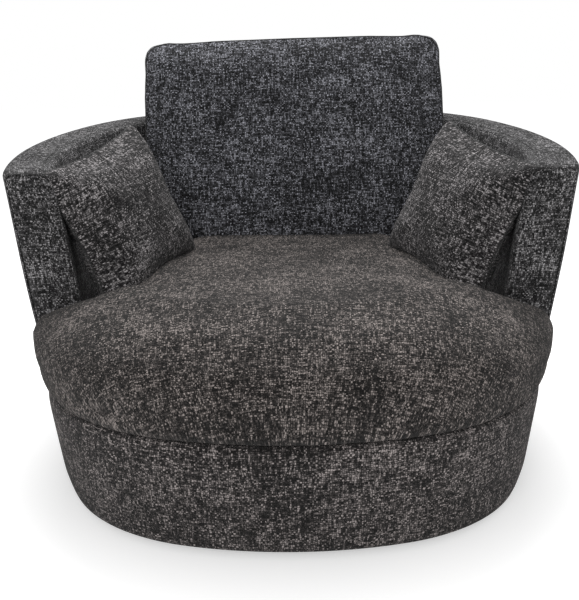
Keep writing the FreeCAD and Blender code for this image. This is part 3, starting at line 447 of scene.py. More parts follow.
def plastic(name, colour):
    made = Finish(name, Roughness=0.45)
    where = made.objects()
    grain = made.noise(where, 700.0, 2.0, 0.6)
    made.set("Base Color", made.ramp(made.noise(where, 25.0), [(0.3, grey(0.85, colour)), (0.7, colour)]))
    made.set("Roughness", grain * 0.2 + 0.36)
    made.bump(grain, 0.0002, 0.4)
    return made.material


def thread(name, level):
    """Twisted sewing thread; the same near-black finish also colours the seam tubes that are painted shade.
    """
    made = Finish(name, Roughness=0.8, Sheen_Weight=0.2)
    x, y, _ = made.parts(made.weave())
    twist = (x * 2600.0 + y * 900.0).math("SINE")
    made.set("Base Color", made.ramp(twist * 0.5 + 0.5, [(0.0, grey(0.4 * level)), (1.0, grey(level))]))
    made.bump(twist, 0.0002, 0.5)
    return made.material


TUB_TWEED = tweed("Tub tweed", (1.02, 0.99, 1.01), 0.70, 0.0)
BASE_TWEED = tweed("Base tweed", (1.10, 0.98, 0.95), 0.64, 3.3)
# Painted shade: the seat's copy of the one tweed is set darker than the tub's because the seat lies low in
# the tub, less lit from above.
SEAT_TWEED = tweed("Seat tweed", (1.12, 0.98, 0.92), 0.54, 11.7)
BACK_TWEED = tweed("Back cushion tweed", (0.98, 0.99, 1.10), 0.66, 23.1)
SCATTER_TWEED = tweed("Scatter cushion tweed", (1.04, 0.98, 0.99), 0.68, 31.9)
# Near-black finish for the real stitches and quilting, and for the seam tubes, which are painted shade in
# the seams' creases.
DARK_THREAD_AND_SEAM_SHADE = thread("Dark thread and painted seam shade", 0.02)
CLOTH_BLACK = board("Black dust cloth", (0.012, 0.012, 0.013), 900.0)
GREY_FELT = board("Grey felt", (0.20, 0.20, 0.21), 300.0)
NODE_FINISHES = {
    "plywood": plywood(),
    "timber": timber(),
    "hardboard": board("Brown hardboard", (0.16, 0.085, 0.04), 500.0),
    "steel_plate": plastic("Black powder coat", (0.035, 0.035, 0.038)),
    "screw_steel": steel("Screw steel", 0.5, 0.32),
    "spring_steel": steel("Dark spring steel", 0.16, 0.4),
    "cage_plastic": plastic("Cage plastic", (0.60, 0.58, 0.52)),
    "glide_plastic": plastic("Glide plastic", (0.02, 0.02, 0.022)),
}


def dress(piece, body, finish, slot, *nodes):
    """Gives a finished piece its material and its body and hides the nodes that it stands for; slot is not
    used.
    """
    piece.data.materials.clear()
    piece.data.materials.append(finish)
    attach(piece, body)
    if nodes:
        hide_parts(*nodes)
    return piece


# Stitches and staples: small bars along a path, placed by Geometry Nodes

def bars_tree():
    """A node tree that sets a small round bar at even steps along a path."""
    tree = bpy.data.node_groups.new("Bars along a path", "GeometryNodeTree")
    sockets = {}
    tree.interface.new_socket("Geometry", in_out="INPUT", socket_type="NodeSocketGeometry")
    for name, start in (("Spacing", 0.009), ("Bar length", 0.006), ("Bar radius", 0.0006)):
        made = tree.interface.new_socket(name, in_out="INPUT", socket_type="NodeSocketFloat")
        made.default_value = start
        sockets[name] = made.identifier
    made = tree.interface.new_socket("Finish", in_out="INPUT", socket_type="NodeSocketMaterial")
    sockets["Finish"] = made.identifier
    tree.interface.new_socket("Geometry", in_out="OUTPUT", socket_type="NodeSocketGeometry")
    nodes, links = tree.nodes, tree.links
    given, result = nodes.new("NodeGroupInput"), nodes.new("NodeGroupOutput")
    curve = nodes.new("GeometryNodeMeshToCurve")
    points = nodes.new("GeometryNodeCurveToPoints")
    points.mode = "LENGTH"
    bar = nodes.new("GeometryNodeMeshCylinder")
    bar.inputs["Vertices"].default_value = 6
    place = nodes.new("GeometryNodeInstanceOnPoints")
    real = nodes.new("GeometryNodeRealizeInstances")
    finish = nodes.new("GeometryNodeSetMaterial")
    for source, output, target, taken in (
            (given, "Geometry", curve, "Mesh"), (curve, "Curve", points, "Curve"),
            (given, "Spacing", points, "Length"), (given, "Bar length", bar, "Depth"),
            (given, "Bar radius", bar, "Radius"), (points, "Points", place, "Points"),
            (points, "Rotation", place, "Rotation"), (bar, "Mesh", place, "Instance"),
            (place, "Instances", real, "Geometry"), (real, "Geometry", finish, "Geometry"),
            (given, "Finish", finish, "Material"), (finish, "Geometry", result, "Geometry")):
        links.new(source.outputs[output], target.inputs[taken])
    return tree, sockets


BARS, BAR_INPUTS = bars_tree()


def bars_along(name, path, closed, spacing, length, radius, finish):
    """A mesh of small bars along a path of points."""
    count = len(path)
    edges = [(at, at + 1) for at in range(count - 1)] + ([(count - 1, 0)] if closed else [])
    mesh = bpy.data.meshes.new(name)
    mesh.from_pydata([tuple(map(float, place)) for place in path], edges, [])
    piece = bpy.data.objects.new(name, mesh)
    bpy.context.scene.collection.objects.link(piece)
    modifier = piece.modifiers.new("Bars", "NODES")
    modifier.node_group = BARS
    given = {"Spacing": spacing, "Bar length": length, "Bar radius": radius, "Finish": finish}
    for key, value in given.items():
        modifier[BAR_INPUTS[key]] = value
    return outwards(bake_modifiers(piece))


# The drum

def base_tweed():
    """The cloth round the drum: turned under at the hem, a little full, and turned in under the seat."""
    turns = plan_turns(361)
    hem, top = SKIRT_GAP + 0.001, DECK - 0.001
    path = [(0.060, hem + 0.0005), (0.020, hem), (0.007, hem + 0.0015), (0.0015, hem + 0.006),
            (0, hem + 0.014)]
    path += [(0.0, z) for z in np.linspace(hem + 0.03, top - 0.03, 15)]
    path += [(0, top - 0.014), (0.0015, top - 0.006), (0.007, top - 0.0015), (0.020, top), (0.085, top)]
    depth, z = np.array(path).T
    way = np.concatenate([[0], np.cumsum(np.hypot(np.diff(depth), np.diff(z)))])
    x0, y0 = plan(turns[:, None], depth[None], z[None])
    share = smooth(hem, hem + 0.05, z) * (1 - smooth(top - 0.05, top, z))
    full = (0.0045 + 0.0016 * ripple(x0, y0, z[None] * 2, 9.0, 4)) * share
    x, y = plan(turns[:, None], depth[None] - full, z[None])
    z_all = np.broadcast_to(z[None], x.shape)
    along = np.concatenate([[0], np.cumsum(np.hypot(np.diff(x[:, 10]), np.diff(y[:, 10])))])
    uvs = np.stack(np.broadcast_arrays(along[:, None], way[None]), -1)
    piece = grid("base_tweed", np.stack([x, y, z_all], -1), uvs, around=True)
    outwards_sheet(piece)
    thicken(piece, 0.0018)
    return dress(piece, "tub", BASE_TWEED, "tweed_seat", "base_cover", "base_padding")


def dust_cloth():
    """The black cloth stapled under the deck board, a little slack between its edges."""
    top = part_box("dust_cover")[1].z
    edge_inset, hole = 0.0785, 0.231
    x_out, y_out = (part[:, None] for part in plan(plan_turns(181), edge_inset, top))
    angle = np.arctan2(y_out, x_out)

    def between(share):
        return (hole * np.cos(angle) * (1 - share) + x_out * share,
                hole * np.sin(angle) * (1 - share) + y_out * share)

    shares = np.linspace(0, 1, 13)
    x, y = between(shares)
    slack = np.sin(math.pi * shares)[None] * (0.0035 + 0.0012 * ripple(x, y, 0 * x, 16.0, 61))
    z = top - 0.0004 - slack
    piece = grid("dust_cloth", np.stack([x, y, z], -1), np.stack([x, y], -1), around=True)
    if np.mean([face.normal.z for face in piece.data.polygons]) > 0:
        piece.data.flip_normals()
    thicken(piece, 0.0006)
    dress(piece, "tub", CLOTH_BLACK, "dust_cloth", "dust_cover")
    finish = NODE_FINISHES["screw_steel"]
    for name, share in (("dust_cloth_staples_outer", 0.975), ("dust_cloth_staples_inner", 0.03)):
        path = np.hstack([*between(share), np.full_like(angle, top - 0.0012)])
        staples = bars_along(name, path[:-1], True, 0.045, 0.011, 0.0005, finish)
        dress(staples, "tub", finish, "screw_steel")
    return piece


def outwards_sheet(piece):
    """Turns an open sheet so that its faces look away from the chair's middle."""
    mesh = piece.data
    count = 0
    for face in mesh.polygons:
        out = Vector((face.center.x, face.center.y, (face.center.z - 0.3) * 0.6))
        count += 1 if face.normal.dot(out) > 0 else -1
    if count < 0:
        mesh.flip_normals()
    return piece


# The tub

def arm_turn(nominal, depth, z):
    """The turn of a wall station: the first and last ones lie in the plane of the arm fronts."""
    nominal, depth, z = np.broadcast_arrays(np.asarray(nominal, float), depth, z)
    front = -np.arcsin(ARM_FRONT / (REACH + FLARE * z - depth + SIDE_BOW))
    mirrored = math.pi - nominal

    def spread(turn):
        return SIDE_TURN - (SIDE_TURN - front) * (SIDE_TURN - turn) / (SIDE_TURN - ARM_START)

    left = math.pi - spread(mirrored)
    return np.where(nominal < SIDE_TURN, spread(nominal), np.where(mirrored < SIDE_TURN, left, nominal))


ARM_START = -math.asin(ARM_FRONT / (REACH + FLARE * 0.5 + SIDE_BOW))


def wall_place(nominal, depth, z):
    return plan(arm_turn(nominal, depth, z), depth, z)


NEAR_RIM = 0.72
SHOULDER_OUT, SHOULDER_IN = 0.017, 0.013


def rim_at(nominal, depth):
    return rim_height(wall_place(nominal, depth, NEAR_RIM)[1])


def along_rim(turns, depth, above):
    """Points beside the rim at a depth from the wall's outside."""
    places = [tuple(map(float, wall_place(turn, depth, NEAR_RIM))) for turn in turns]
    return [(x, y, rim_height(y) + above) for x, y in places]


def wall_path():
    """The cloth's way over the wall: depth, height share below the rim, and metres above it."""
    rows = [(0.0, share, 0.0) for share in np.linspace(0, 1, 13)[:-1]]
    outer, inner = SHOULDER_OUT, SHOULDER_IN
    for turn in np.linspace(0, math.pi / 2, 7):
        rows.append((outer - outer * math.cos(turn), 1, -outer + outer * math.sin(turn)))
    for depth in np.linspace(outer, WALL - inner, 8)[1:-1]:
        rows.append((depth, 1, 0.0))
    for turn in np.linspace(math.pi / 2, 0, 7):
        rows.append((WALL - inner + inner * math.cos(turn), 1, -inner + inner * math.sin(turn)))
    rows += [(WALL, share, 0.0) for share in np.linspace(1, 0, 13)[1:]]
    return np.array(rows)


def tub_tweed():
    """The cloth of the C-shaped wall: full outside, flat on the rim, a seam along its inner edge, darkened
    by a near-black line of painted shade.
    """
    turns = plan_turns(241, ARM_START, math.pi - ARM_START)
    rows = wall_path()
    depth, share, above = rows.T
    low = DECK + 0.002
    rim = rim_at(turns[:, None], depth[None])
    shoulder = np.where(depth < WALL / 2, -SHOULDER_OUT, -SHOULDER_IN)
    z = np.where(share[None] < 1, low + (rim + shoulder[None] - low) * share[None], rim + above[None])
    x0, y0 = wall_place(turns[:, None], depth[None], z)
    upright = np.sin(np.pi * np.clip(share, 0, 1)) * (share < 1)
    full = upright[None] * (0.003 + 0.0022 * ripple(x0, y0, z, 10.0, 9))
    drawn = depth[None] + np.where(depth[None] < WALL / 2, -full, full * 0.6)
    flat = (np.abs(depth - WALL / 2) < WALL / 2 - 0.02) & (share == 1)
    z = z + flat[None] * 0.0016 * ripple(x0, y0, z, 14.0, 17)
    seam_shade = np.exp(-((depth - (WALL - SHOULDER_IN)) / 0.0035) ** 2) * (share == 1) * (above > -0.002)
    z = z - seam_shade[None] * 0.0032
    ends = np.minimum(turns - ARM_START, math.pi - ARM_START - turns) / 0.05
    tuck = (1 - smooth(0, 1, ends))[:, None] ** 2
    middle = 0.5 * WALL
    drawn = drawn + np.sign(middle - depth)[None] * tuck * 0.006 * (np.abs(depth - middle) > 0.03)[None]
    z = z - tuck * 0.006 * (share == 1)[None]
    x, y = wall_place(turns[:, None], drawn, z)
    way = np.concatenate([[0], np.cumsum(np.hypot(np.diff(depth), np.diff(z[120])))])
    along = np.concatenate([[0], np.cumsum(np.hypot(np.diff(x[:, 16]), np.diff(y[:, 16])))])
    uvs = np.stack(np.broadcast_arrays(along[:, None], way[None]), -1)
    piece = grid("tub_tweed", np.stack([x, y, z], -1), uvs)
    low_outside = piece.data.polygons[5]
    if low_outside.normal.x < 0:
        piece.data.flip_normals()
    thicken(piece, 0.0018)
    dress(piece, "tub", TUB_TWEED, "tweed_tub", "tub_cover", "tub_padding")
    seam_depth, seamed = WALL - SHOULDER_IN, turns[2:-2]
    # Painted shade: a near-black tube lying in the rim seam's groove stands for the crease's shade; the
    # stitches beside it are thread.
    seam_shade_line = tube("tub_rim_seam_shade", along_rim(seamed, seam_depth, -0.0028), 0.0011, closed=False)
    dress(seam_shade_line, "tub", DARK_THREAD_AND_SEAM_SHADE, "tweed_tub")
    beside = along_rim(seamed, seam_depth - 0.007, 0.0002)
    stitches = bars_along("tub_rim_stitches", beside, False, 0.0085, 0.0055, 0.0006, DARK_THREAD_AND_SEAM_SHADE)
    return dress(stitches, "tub", DARK_THREAD_AND_SEAM_SHADE, "tweed_tub")


def arm_front_tweed(side):
    """The domed cloth panel that closes one arm, with a seam round it drawn as a near-black line of painted
    shade.
    """
    name = "right" if side > 0 else "left"
    low = DECK + 0.002
    inset, corner, panel_height = 0.0055, 0.013, 0.45
    rim = rim_height(-ARM_FRONT) - inset
    places, uvs = [], []
    for height in np.linspace(0, 1, 41):
        row, marks = [], []
        z = low + (rim - low) * height
        near_top = rim - z
        for share in np.linspace(0, 1, 15):
            edge = min(share, 1 - share) * WALL
            depth = inset + (WALL - 2 * inset) * share
            if near_top < corner:
                cut = corner - math.sqrt(max(corner ** 2 - (corner - near_top) ** 2, 0))
                depth = inset + cut + (WALL - 2 * inset - 2 * cut) * share
            x, _ = plan(float(arm_turn(ARM_START, depth, z)), depth, z)
            rise = min(edge, max(near_top, 0.0)) / 0.016
            dome = 0.0065 * math.sqrt(1 - (1 - min(rise, 1)) ** 2) + 0.002 * math.sin(math.pi * share) \
                * math.sin(math.pi * min(height, 1))
            row.append((side * float(x), 0.003 - ARM_FRONT - dome, z))
            marks.append((share * WALL, height * panel_height))
        places.append(row)
        uvs.append(marks)
    piece = grid(f"arm_front_tweed_{name}", np.array(places), np.array(uvs))
    if np.mean([face.normal.y for face in piece.data.polygons]) > 0:
        piece.data.flip_normals()
    thicken(piece, 0.0016)
    dress(piece, "tub", TUB_TWEED, "tweed_tub", f"arm_front_cover_{name}", f"arm_front_padding_{name}")
    rows = np.array(places)
    # Painted shade: the near-black line up the sides and over the top of the panel stands for the shade in
    # its seam crease.
    line = np.concatenate([rows[:, 0], rows[-1, 1:-1], rows[::-1, -1]])
    line[:, 1] += 0.0004
    way_out = np.tile([0, -1.0, 0], (len(line), 1))
    seam_shade_line = tube(f"arm_front_seam_shade_{name}", line, 0.0010, closed=False, lift=way_out)
    return dress(seam_shade_line, "tub", DARK_THREAD_AND_SEAM_SHADE, "tweed_tub")


base_tweed()
dust_cloth()
tub_tweed()
arm_front_tweed(1)
arm_front_tweed(-1)


# Cushions: a closed starting shape, swollen by cloth simulation, then given its weave and seams, the seams
# drawn as near-black lines of painted shade

def closed_rows(name, rings):
    """A closed shape through rings of points, capped at both ends."""
    rings = [np.asarray(ring, float) for ring in rings]
    count = len(rings[0])
    places, faces = np.concatenate(rings), []
    for row in range(len(rings) - 1):
        for column in range(count):
            beside = (column + 1) % count
            faces.append((row * count + column, row * count + beside,
                          (row + 1) * count + beside, (row + 1) * count + column))
    faces.append(tuple(reversed(range(count))))
    faces.append(tuple((len(rings) - 1) * count + column for column in range(count)))
    return outwards(finish_mesh(name, places, faces))


SWELL_FRAMES, SWELL_PRESSURE = 20, 4.0


def places_of(piece):
    places = np.empty(len(piece.data.vertices) * 3)
    piece.data.vertices.foreach_get("co", places)
    return places.reshape(-1, 3)


def reshape(piece, change):
    """Moves every vertex by a function of all their places."""
    piece.data.vertices.foreach_set("co", change(places_of(piece)).ravel())
    piece.data.update()
    return piece


def swell(piece, voxel, cap, held=None):
    """Swells a closed shape by cloth simulation; no point moves further than cap, held ones less."""
    remesh = piece.modifiers.new("Voxels", "REMESH")
    remesh.mode, remesh.voxel_size, remesh.use_smooth_shade = "VOXEL", voxel, True
    bake_modifiers(piece)
    start = places_of(piece)
    cloth = piece.modifiers.new("Swell", "CLOTH")
    cloth.settings.use_pressure = True
    cloth.settings.uniform_pressure_force = SWELL_PRESSURE
    cloth.settings.effector_weights.gravity = 0
    cloth.settings.quality = 4
    cloth.settings.tension_stiffness = cloth.settings.compression_stiffness = 12
    cloth.settings.bending_stiffness = 0.4
    cloth.collision_settings.use_collision = False
    cloth.point_cache.frame_start, cloth.point_cache.frame_end = 1, SWELL_FRAMES
    for moment in range(1, SWELL_FRAMES + 1):
        bpy.context.scene.frame_set(moment)
    bake_modifiers(piece)
    bpy.context.scene.frame_set(1)
    move = places_of(piece) - start
    length = np.linalg.norm(move, axis=1)
    limit = np.full(len(start), cap) if held is None else cap * held(start)
    move *= (np.minimum(length, limit) / np.maximum(length, 1e-9))[:, None]
    return reshape(piece, lambda _: start + move)


def finer(piece):
    made = piece.modifiers.new("Finer", "SUBSURF")
    made.levels = made.render_levels = 1
    return smooth_shaded(bake_modifiers(piece))


def fit_extent(piece, *halves):
    """Scales a piece along each axis so that it fills its real size about the origin."""
    def change(places):
        low, high = places.min(0), places.max(0)
        return (places - (low + high) / 2) * (2 * np.array(halves) / (high - low))

    return reshape(piece, change)


def laid_on(piece, path):
    """A path drawn onto a finished cushion's surface, and the surface's way out at each of its points."""
    tree = BVHTree.FromPolygons([vertex.co for vertex in piece.data.vertices],
                                [tuple(face.vertices) for face in piece.data.polygons])
    found = [tree.find_nearest(Vector(map(float, place))) for place in path]
    return np.array([near + normal * 0.0004 for near, normal, _, _ in found]), \
        np.array([normal for _, normal, _, _ in found])


def map_weave(piece, mapping):
    """Weave coordinates for each face corner from its place and its face's way out."""
    mesh = piece.data
    corners = np.empty(len(mesh.loops), dtype=int)
    mesh.loops.foreach_get("vertex_index", corners)
    totals = np.empty(len(mesh.polygons), dtype=int)
    mesh.polygons.foreach_get("loop_total", totals)

    def each_corner(key):
        values = np.empty(len(mesh.polygons) * 3)
        mesh.polygons.foreach_get(key, values)
        return np.repeat(values.reshape(-1, 3), totals, 0)

    layer = mesh.uv_layers.get("Weave") or mesh.uv_layers.new(name="Weave")
    marks = mapping(places_of(piece)[corners], each_corner("normal"), each_corner("center"))
    layer.data.foreach_set("uv", marks.ravel())
    return piece


def set_up(piece, placement):
    piece.data.transform(placement)
    piece.data.update()
    return piece


# The seat cushion

def tee_ring(z, outer, inner, ear, count=220):
    """The T-shaped outline of the seat cushion at a height; ear is where its arms' cut-outs start."""
    def side_turn_at(y, depth):
        return math.asin(y / (REACH + FLARE * z - depth + SIDE_BOW))
    nose_start = side_turn_at(ear, outer)
    nose = plan_turns(81, math.pi - nose_start, 2 * math.pi + nose_start)
    x, y = plan(nose, outer, z)
    points = list(zip(x, y))
    hollow_start = side_turn_at(ear, inner)
    x, y = plan(plan_turns(121, hollow_start, math.pi - hollow_start), inner, z)
    points += list(zip(x, y))
    closed = np.array(points + points[:1])
    way = np.concatenate([[0], np.cumsum(np.linalg.norm(np.diff(closed, axis=0), axis=1))])
    wanted = np.linspace(0, way[-1], count, endpoint=False)
    return np.stack([np.interp(wanted, way, closed[:, 0]), np.interp(wanted, way, closed[:, 1]),
                     np.full(count, z)], -1)


def felt_pad():
    """The felt over the springs, quilted in rows."""
    low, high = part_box("seat_deck_pad")
    rings = []
    for z, draw in ((low.z, 0.0015), (low.z + 0.0015, 0), (high.z - 0.0015, 0), (high.z, 0.0015)):
        rings.append(tee_ring(z, 0.0179 + draw, WALL + SEAT_GAP + draw, -ARM_FRONT - SEAT_GAP - draw))
    piece = closed_rows("deck_pad_felt", rings)
    dress(piece, "tub", GREY_FELT, "felt", "seat_deck_pad")
    for index, x in enumerate(np.linspace(-0.3, 0.3, 5)):
        row = [(x, y, high.z + 0.0001) for y in np.linspace(-0.40, 0.36, 40)]
        name = f"deck_pad_quilting_{index + 1}"
        quilting = bars_along(name, row, False, 0.011, 0.007, 0.0005, DARK_THREAD_AND_SEAM_SHADE)
        dress(quilting, "tub", DARK_THREAD_AND_SEAM_SHADE, "felt")
    return piece


def seat_draw(share):
    """How far the seat cushion's side is drawn in at a share of its height."""
    return np.interp(share, *np.array(SEAT_DRAWS).T)


def seat_cushion():
    """A thick crowned T cushion: a nose over the front of the drum and ears in front of the arms."""
    shrink = 0.010
    low, tall = DECK + 0.0015, SEAT_THICK - 0.004
    shares = [0, 0.03, 0.07, 0.12, 0.2, 0.3, 0.4, 0.5, 0.58, 0.65, 0.71, 0.77, 0.83, 0.89, 0.95, 1]
    rings = []
    for share in shares:
        draw = float(seat_draw(share))
        ear = -(ARM_FRONT + SEAT_GAP + 0.25 * max(draw, 0) + shrink * 0.5)
        inner = WALL + SEAT_GAP + max(draw, 0) + shrink * 0.4
        rings.append(tee_ring(low + share * tall, draw + shrink, inner, ear))
    piece = closed_rows("seat_cushion_tweed", rings)

    def held(places):
        return 0.25 + 0.75 * smooth(low, low + 0.05, places[:, 2])

    swell(piece, 0.010, 0.014, held)
    finer(piece)

    def fill(places):
        """Widens the front until the nose reaches its outline."""
        x, y, z = places.T
        turn = np.arctan2(y, x)
        for _ in range(4):
            px, py = plan(turn, 0, z)
            turn = turn + (np.arctan2(y, x) - np.arctan2(py, px))
        px, py = plan(turn, 0, z)
        share = np.clip((z - low) / tall, 0, 1)
        wanted = np.hypot(px, py) - seat_draw(share)
        own = np.hypot(x, y)
        outer = (y < -ARM_FRONT) & (share > 0.25) & (share < 0.5)
        step = float(np.median((wanted - own)[outer & (own > wanted - 0.05)]))
        front = 1 - smooth(-ARM_FRONT, -0.02, y)
        grown = 1 + (step / np.maximum(own, 0.2)) * smooth(0.3, 0.55, own) * front
        return np.stack([x * grown, y * grown, z], -1)

    reshape(piece, fill)

    def settle(places):
        x, y, z = places.T
        dip = 0.004 * np.exp(-(x / 0.30) ** 2 - ((y + 0.12) / 0.26) ** 2)
        waves = 0.0022 * ripple(x, y, z, 13.0, 31)
        z = z - dip * smooth(low + 0.1, low + 0.2, z) + waves * smooth(low, low + 0.05, z)
        return np.stack([x, y, np.maximum(z, low)], -1)

    reshape(piece, settle)

    def mapping(places, *_):
        """The weave runs straight over the top and follows the front down."""
        x, y, z = places.T
        reach = np.hypot(x, y)
        way = reach + 0.95 * np.maximum(0.40 - z, 0) + 0.4 * np.clip(0.45 - z, 0, 0.05)
        return np.stack([x, y], -1) * (way / np.maximum(reach, 0.01))[:, None]

    map_weave(piece, mapping)
    dress(piece, "seat_cushion", SEAT_TWEED, "tweed_seat", "seat_cushion_cover", "seat_cushion_core",
          "seat_cushion_zip")
    return piece


# The back cushion

BACK_UP = Vector((0, math.sin(BACK_LEAN), math.cos(BACK_LEAN)))
BACK_DEEP = Vector((0, math.cos(BACK_LEAN), -math.sin(BACK_LEAN)))
BACK_MIDDLE = Vector((0, BACK_FOOT, BACK_FOOT_HEIGHT)) + BACK_UP * (BACK_HEIGHT / 2) \
    + BACK_DEEP * (BACK_BORDER / 2 + BACK_CROWN)
BACK_ROLL = math.radians(1.2)
BACK_FULL, BACK_SHIFT = 0.014, Vector((0.012, 0, 0)) + BACK_UP * 0.010
BACK_PLACEMENT = Matrix.Translation(BACK_MIDDLE) @ Matrix((
    (1, BACK_UP.x, -BACK_DEEP.x, 0), (0, BACK_UP.y, -BACK_DEEP.y, 0), (0, BACK_UP.z, -BACK_DEEP.z, 0),
    (0, 0, 0, 1)))


def round_corners(x, y, half_width, half_height, corner):
    """Draws the corners of a rectangle's points in to arcs."""
    over_x, over_y = np.abs(x) - (half_width - corner), np.abs(y) - (half_height - corner)
    inside = (over_x > 0) & (over_y > 0)
    length = np.hypot(over_x, over_y)
    scale = np.where(inside & (length > corner), corner / np.maximum(length, 1e-9), 1)
    return (np.sign(x) * np.where(inside, half_width - corner + over_x * scale, np.abs(x)),
            np.sign(y) * np.where(inside, half_height - corner + over_y * scale, np.abs(y)))


def boxed_ring(half_width, half_height, corner, bow, z, count=56):
    """A rounded rectangle with slightly bowed sides."""
    turns = np.linspace(0, 2 * math.pi, 4 * count, endpoint=False)
    across, up = np.cos(turns), np.sin(turns)
    power = 2 / 9
    x = np.sign(across) * np.abs(across) ** power * half_width
    y = np.sign(up) * np.abs(up) ** power * half_height
    x, y = round_corners(x, y, half_width, half_height, corner)
    x = x + np.sign(x) * bow * (1 - (y / half_height) ** 2) * (np.abs(x) > half_width * 0.9)
    y = y + np.sign(y) * bow * (1 - (x / half_width) ** 2) * (np.abs(y) > half_height * 0.9)
    return np.stack([x, y, np.full(len(x), z)], -1)


def place_rows(places, matrix):
    turn = np.array(matrix.to_3x3())
    return places @ turn.T + np.array(matrix.to_translation())


def back_cushion():
    """A boxed cushion: two crowned panels, a border between them, and a seam at each panel's edge, darkened
    by a near-black line of painted shade.
    """
    shrink = 0.006
    half_width, half_height = BACK_WIDTH / 2 - shrink, BACK_HEIGHT / 2 - shrink
    border = BACK_BORDER / 2
    half_sections = [(border / 2, -0.006), (border - 0.004, 0.012), (border + 0.25 * BACK_CROWN, 0.08),
                     (border + 0.7 * BACK_CROWN, 0.30), (border + BACK_CROWN, 0.62)]
    rear = [(-z, draw) for z, draw in reversed(half_sections)]
    rings = []
    for z, draw in rear + [(0, -0.012)] + half_sections:
        rings.append(boxed_ring(half_width - draw * half_height, half_height * (1 - draw),
                                0.058 * (1 - draw) + 0.006, 0.006 * (1 - draw) ** 2, z))
    piece = closed_rows("back_cushion_tweed", rings)
    swell(piece, 0.010, 0.012)
    finer(piece)
    fit_extent(piece, BACK_WIDTH / 2 + BACK_FULL, BACK_HEIGHT / 2 + BACK_FULL, border + BACK_CROWN)

    def settle(places):
        x, y, z = places.T
        seam_shade = np.exp(-((np.abs(z) - border) / 0.006) ** 2)
        wide, high = np.abs(x) / (BACK_WIDTH / 2), np.abs(y) / (BACK_HEIGHT / 2)
        corner = smooth(0.70, 1.0, wide) * smooth(0.70, 1.0, high)
        pinch = 1 - 0.009 * seam_shade * smooth(0.9, 0.97, np.maximum(wide, high)) + 0.045 * corner
        x, y = x * pinch, y * pinch
        z = z + 0.003 * ripple(x, y, z, 11.0, 41) * (np.abs(z) > border * 0.9)
        return np.stack([x, y, z], -1)

    reshape(piece, settle)

    def mapping(places, normals, centres):
        """Panels take the weave face on; the border takes its own strip."""
        x, y, z = places.T
        on_side = (np.abs(centres[:, 2]) < border) & (np.abs(normals[:, 2]) < 0.75)
        upright = np.abs(normals[:, 0]) > np.abs(normals[:, 1])
        u = np.where(on_side, np.where(upright, y, x), x)
        v = np.where(on_side, z + 2.0, y + np.where(centres[:, 2] < 0, 4.0, 0.0))
        return np.stack([u, v], -1)

    map_weave(piece, mapping)
    placement = Matrix.Translation(BACK_SHIFT) @ BACK_PLACEMENT @ Matrix.Rotation(BACK_ROLL, 4, "Z")
    set_up(piece, placement)
    fit_back(piece)
    dress(piece, "back_cushion", BACK_TWEED, "tweed_back", "back_cushion_cover", "back_cushion_filling",
          "back_cushion_zip")
    # Painted shade: near-black tubes along both panel seams stand for the shade in their creases.
    for end in (-1, 1):
        ring = boxed_ring(BACK_WIDTH / 2 + BACK_FULL, BACK_HEIGHT / 2 + BACK_FULL, 0.040, 0.005,
                          end * border)
        line, way_out = laid_on(piece, place_rows(ring, placement))
        name = "back_cushion_seam_shade_front" if end > 0 else "back_cushion_seam_shade_rear"
        dress(tube(name, line, 0.0014, lift=way_out), "back_cushion", DARK_THREAD_AND_SEAM_SHADE, "tweed_back")
    return piece


def fit_back(piece):
    """The back cushion gives way to the wall behind it."""
    def change(places):
        x, y, z = places.T
        turn = np.arctan2(np.maximum(y, 0.01), x)
        for _ in range(3):
            px, py = plan(turn, WALL, z)
            turn = turn + np.clip(np.arctan2(y, x) - np.arctan2(py, px), -0.2, 0.2)
        px, py = plan(turn, WALL + 0.003, z)
        reach, own = np.hypot(px, py), np.hypot(x, y)
        rim = rim_height(y) + 0.003
        over = (own > reach) & (y > 0.05)
        below = 1 - smooth(-0.004, 0.018, z - rim)
        scale = np.where(over, 1 - (1 - reach / np.maximum(own, 1e-6)) * below, 1)
        x, y = x * scale, y * scale
        return np.stack([x, y, z], -1)

    return reshape(piece, change)


# The scatter cushions

def scatter_matrix(side):
    turn = Matrix.Rotation(SCATTER_TURN, 4, "Z") @ Matrix.Rotation(math.pi / 2 - SCATTER_LEAN, 4, "X") \
        @ Matrix.Rotation(SCATTER_ROLL, 4, "Z")
    placement = Matrix.Translation(SCATTER_PLACE) @ turn
    return placement if side < 0 else Matrix.Scale(-1, 4, (1, 0, 0)) @ placement


def knife_ring(scale, z, count=160):
    """A square with small round corners and sides drawn in between them."""
    half, corner = SCATTER_SIDE / 2, 0.022
    turns = np.linspace(0, 2 * math.pi, count, endpoint=False)
    across, up = np.cos(turns), np.sin(turns)
    size = np.maximum(np.abs(across), np.abs(up))
    x, y = across / size * half, up / size * half
    x, y = round_corners(x, y, half, half, corner)
    hollow = SCATTER_HOLLOW
    inward_x = hollow * (1 - (np.abs(y) / half) ** 2.2) * (np.abs(x) >= np.abs(y))
    inward_y = hollow * (1 - (np.abs(x) / half) ** 2.2) * (np.abs(y) > np.abs(x))
    x, y = x - np.sign(x) * inward_x, y - np.sign(y) * inward_y
    return np.stack([x * scale, y * scale, np.full(count, z)], -1)


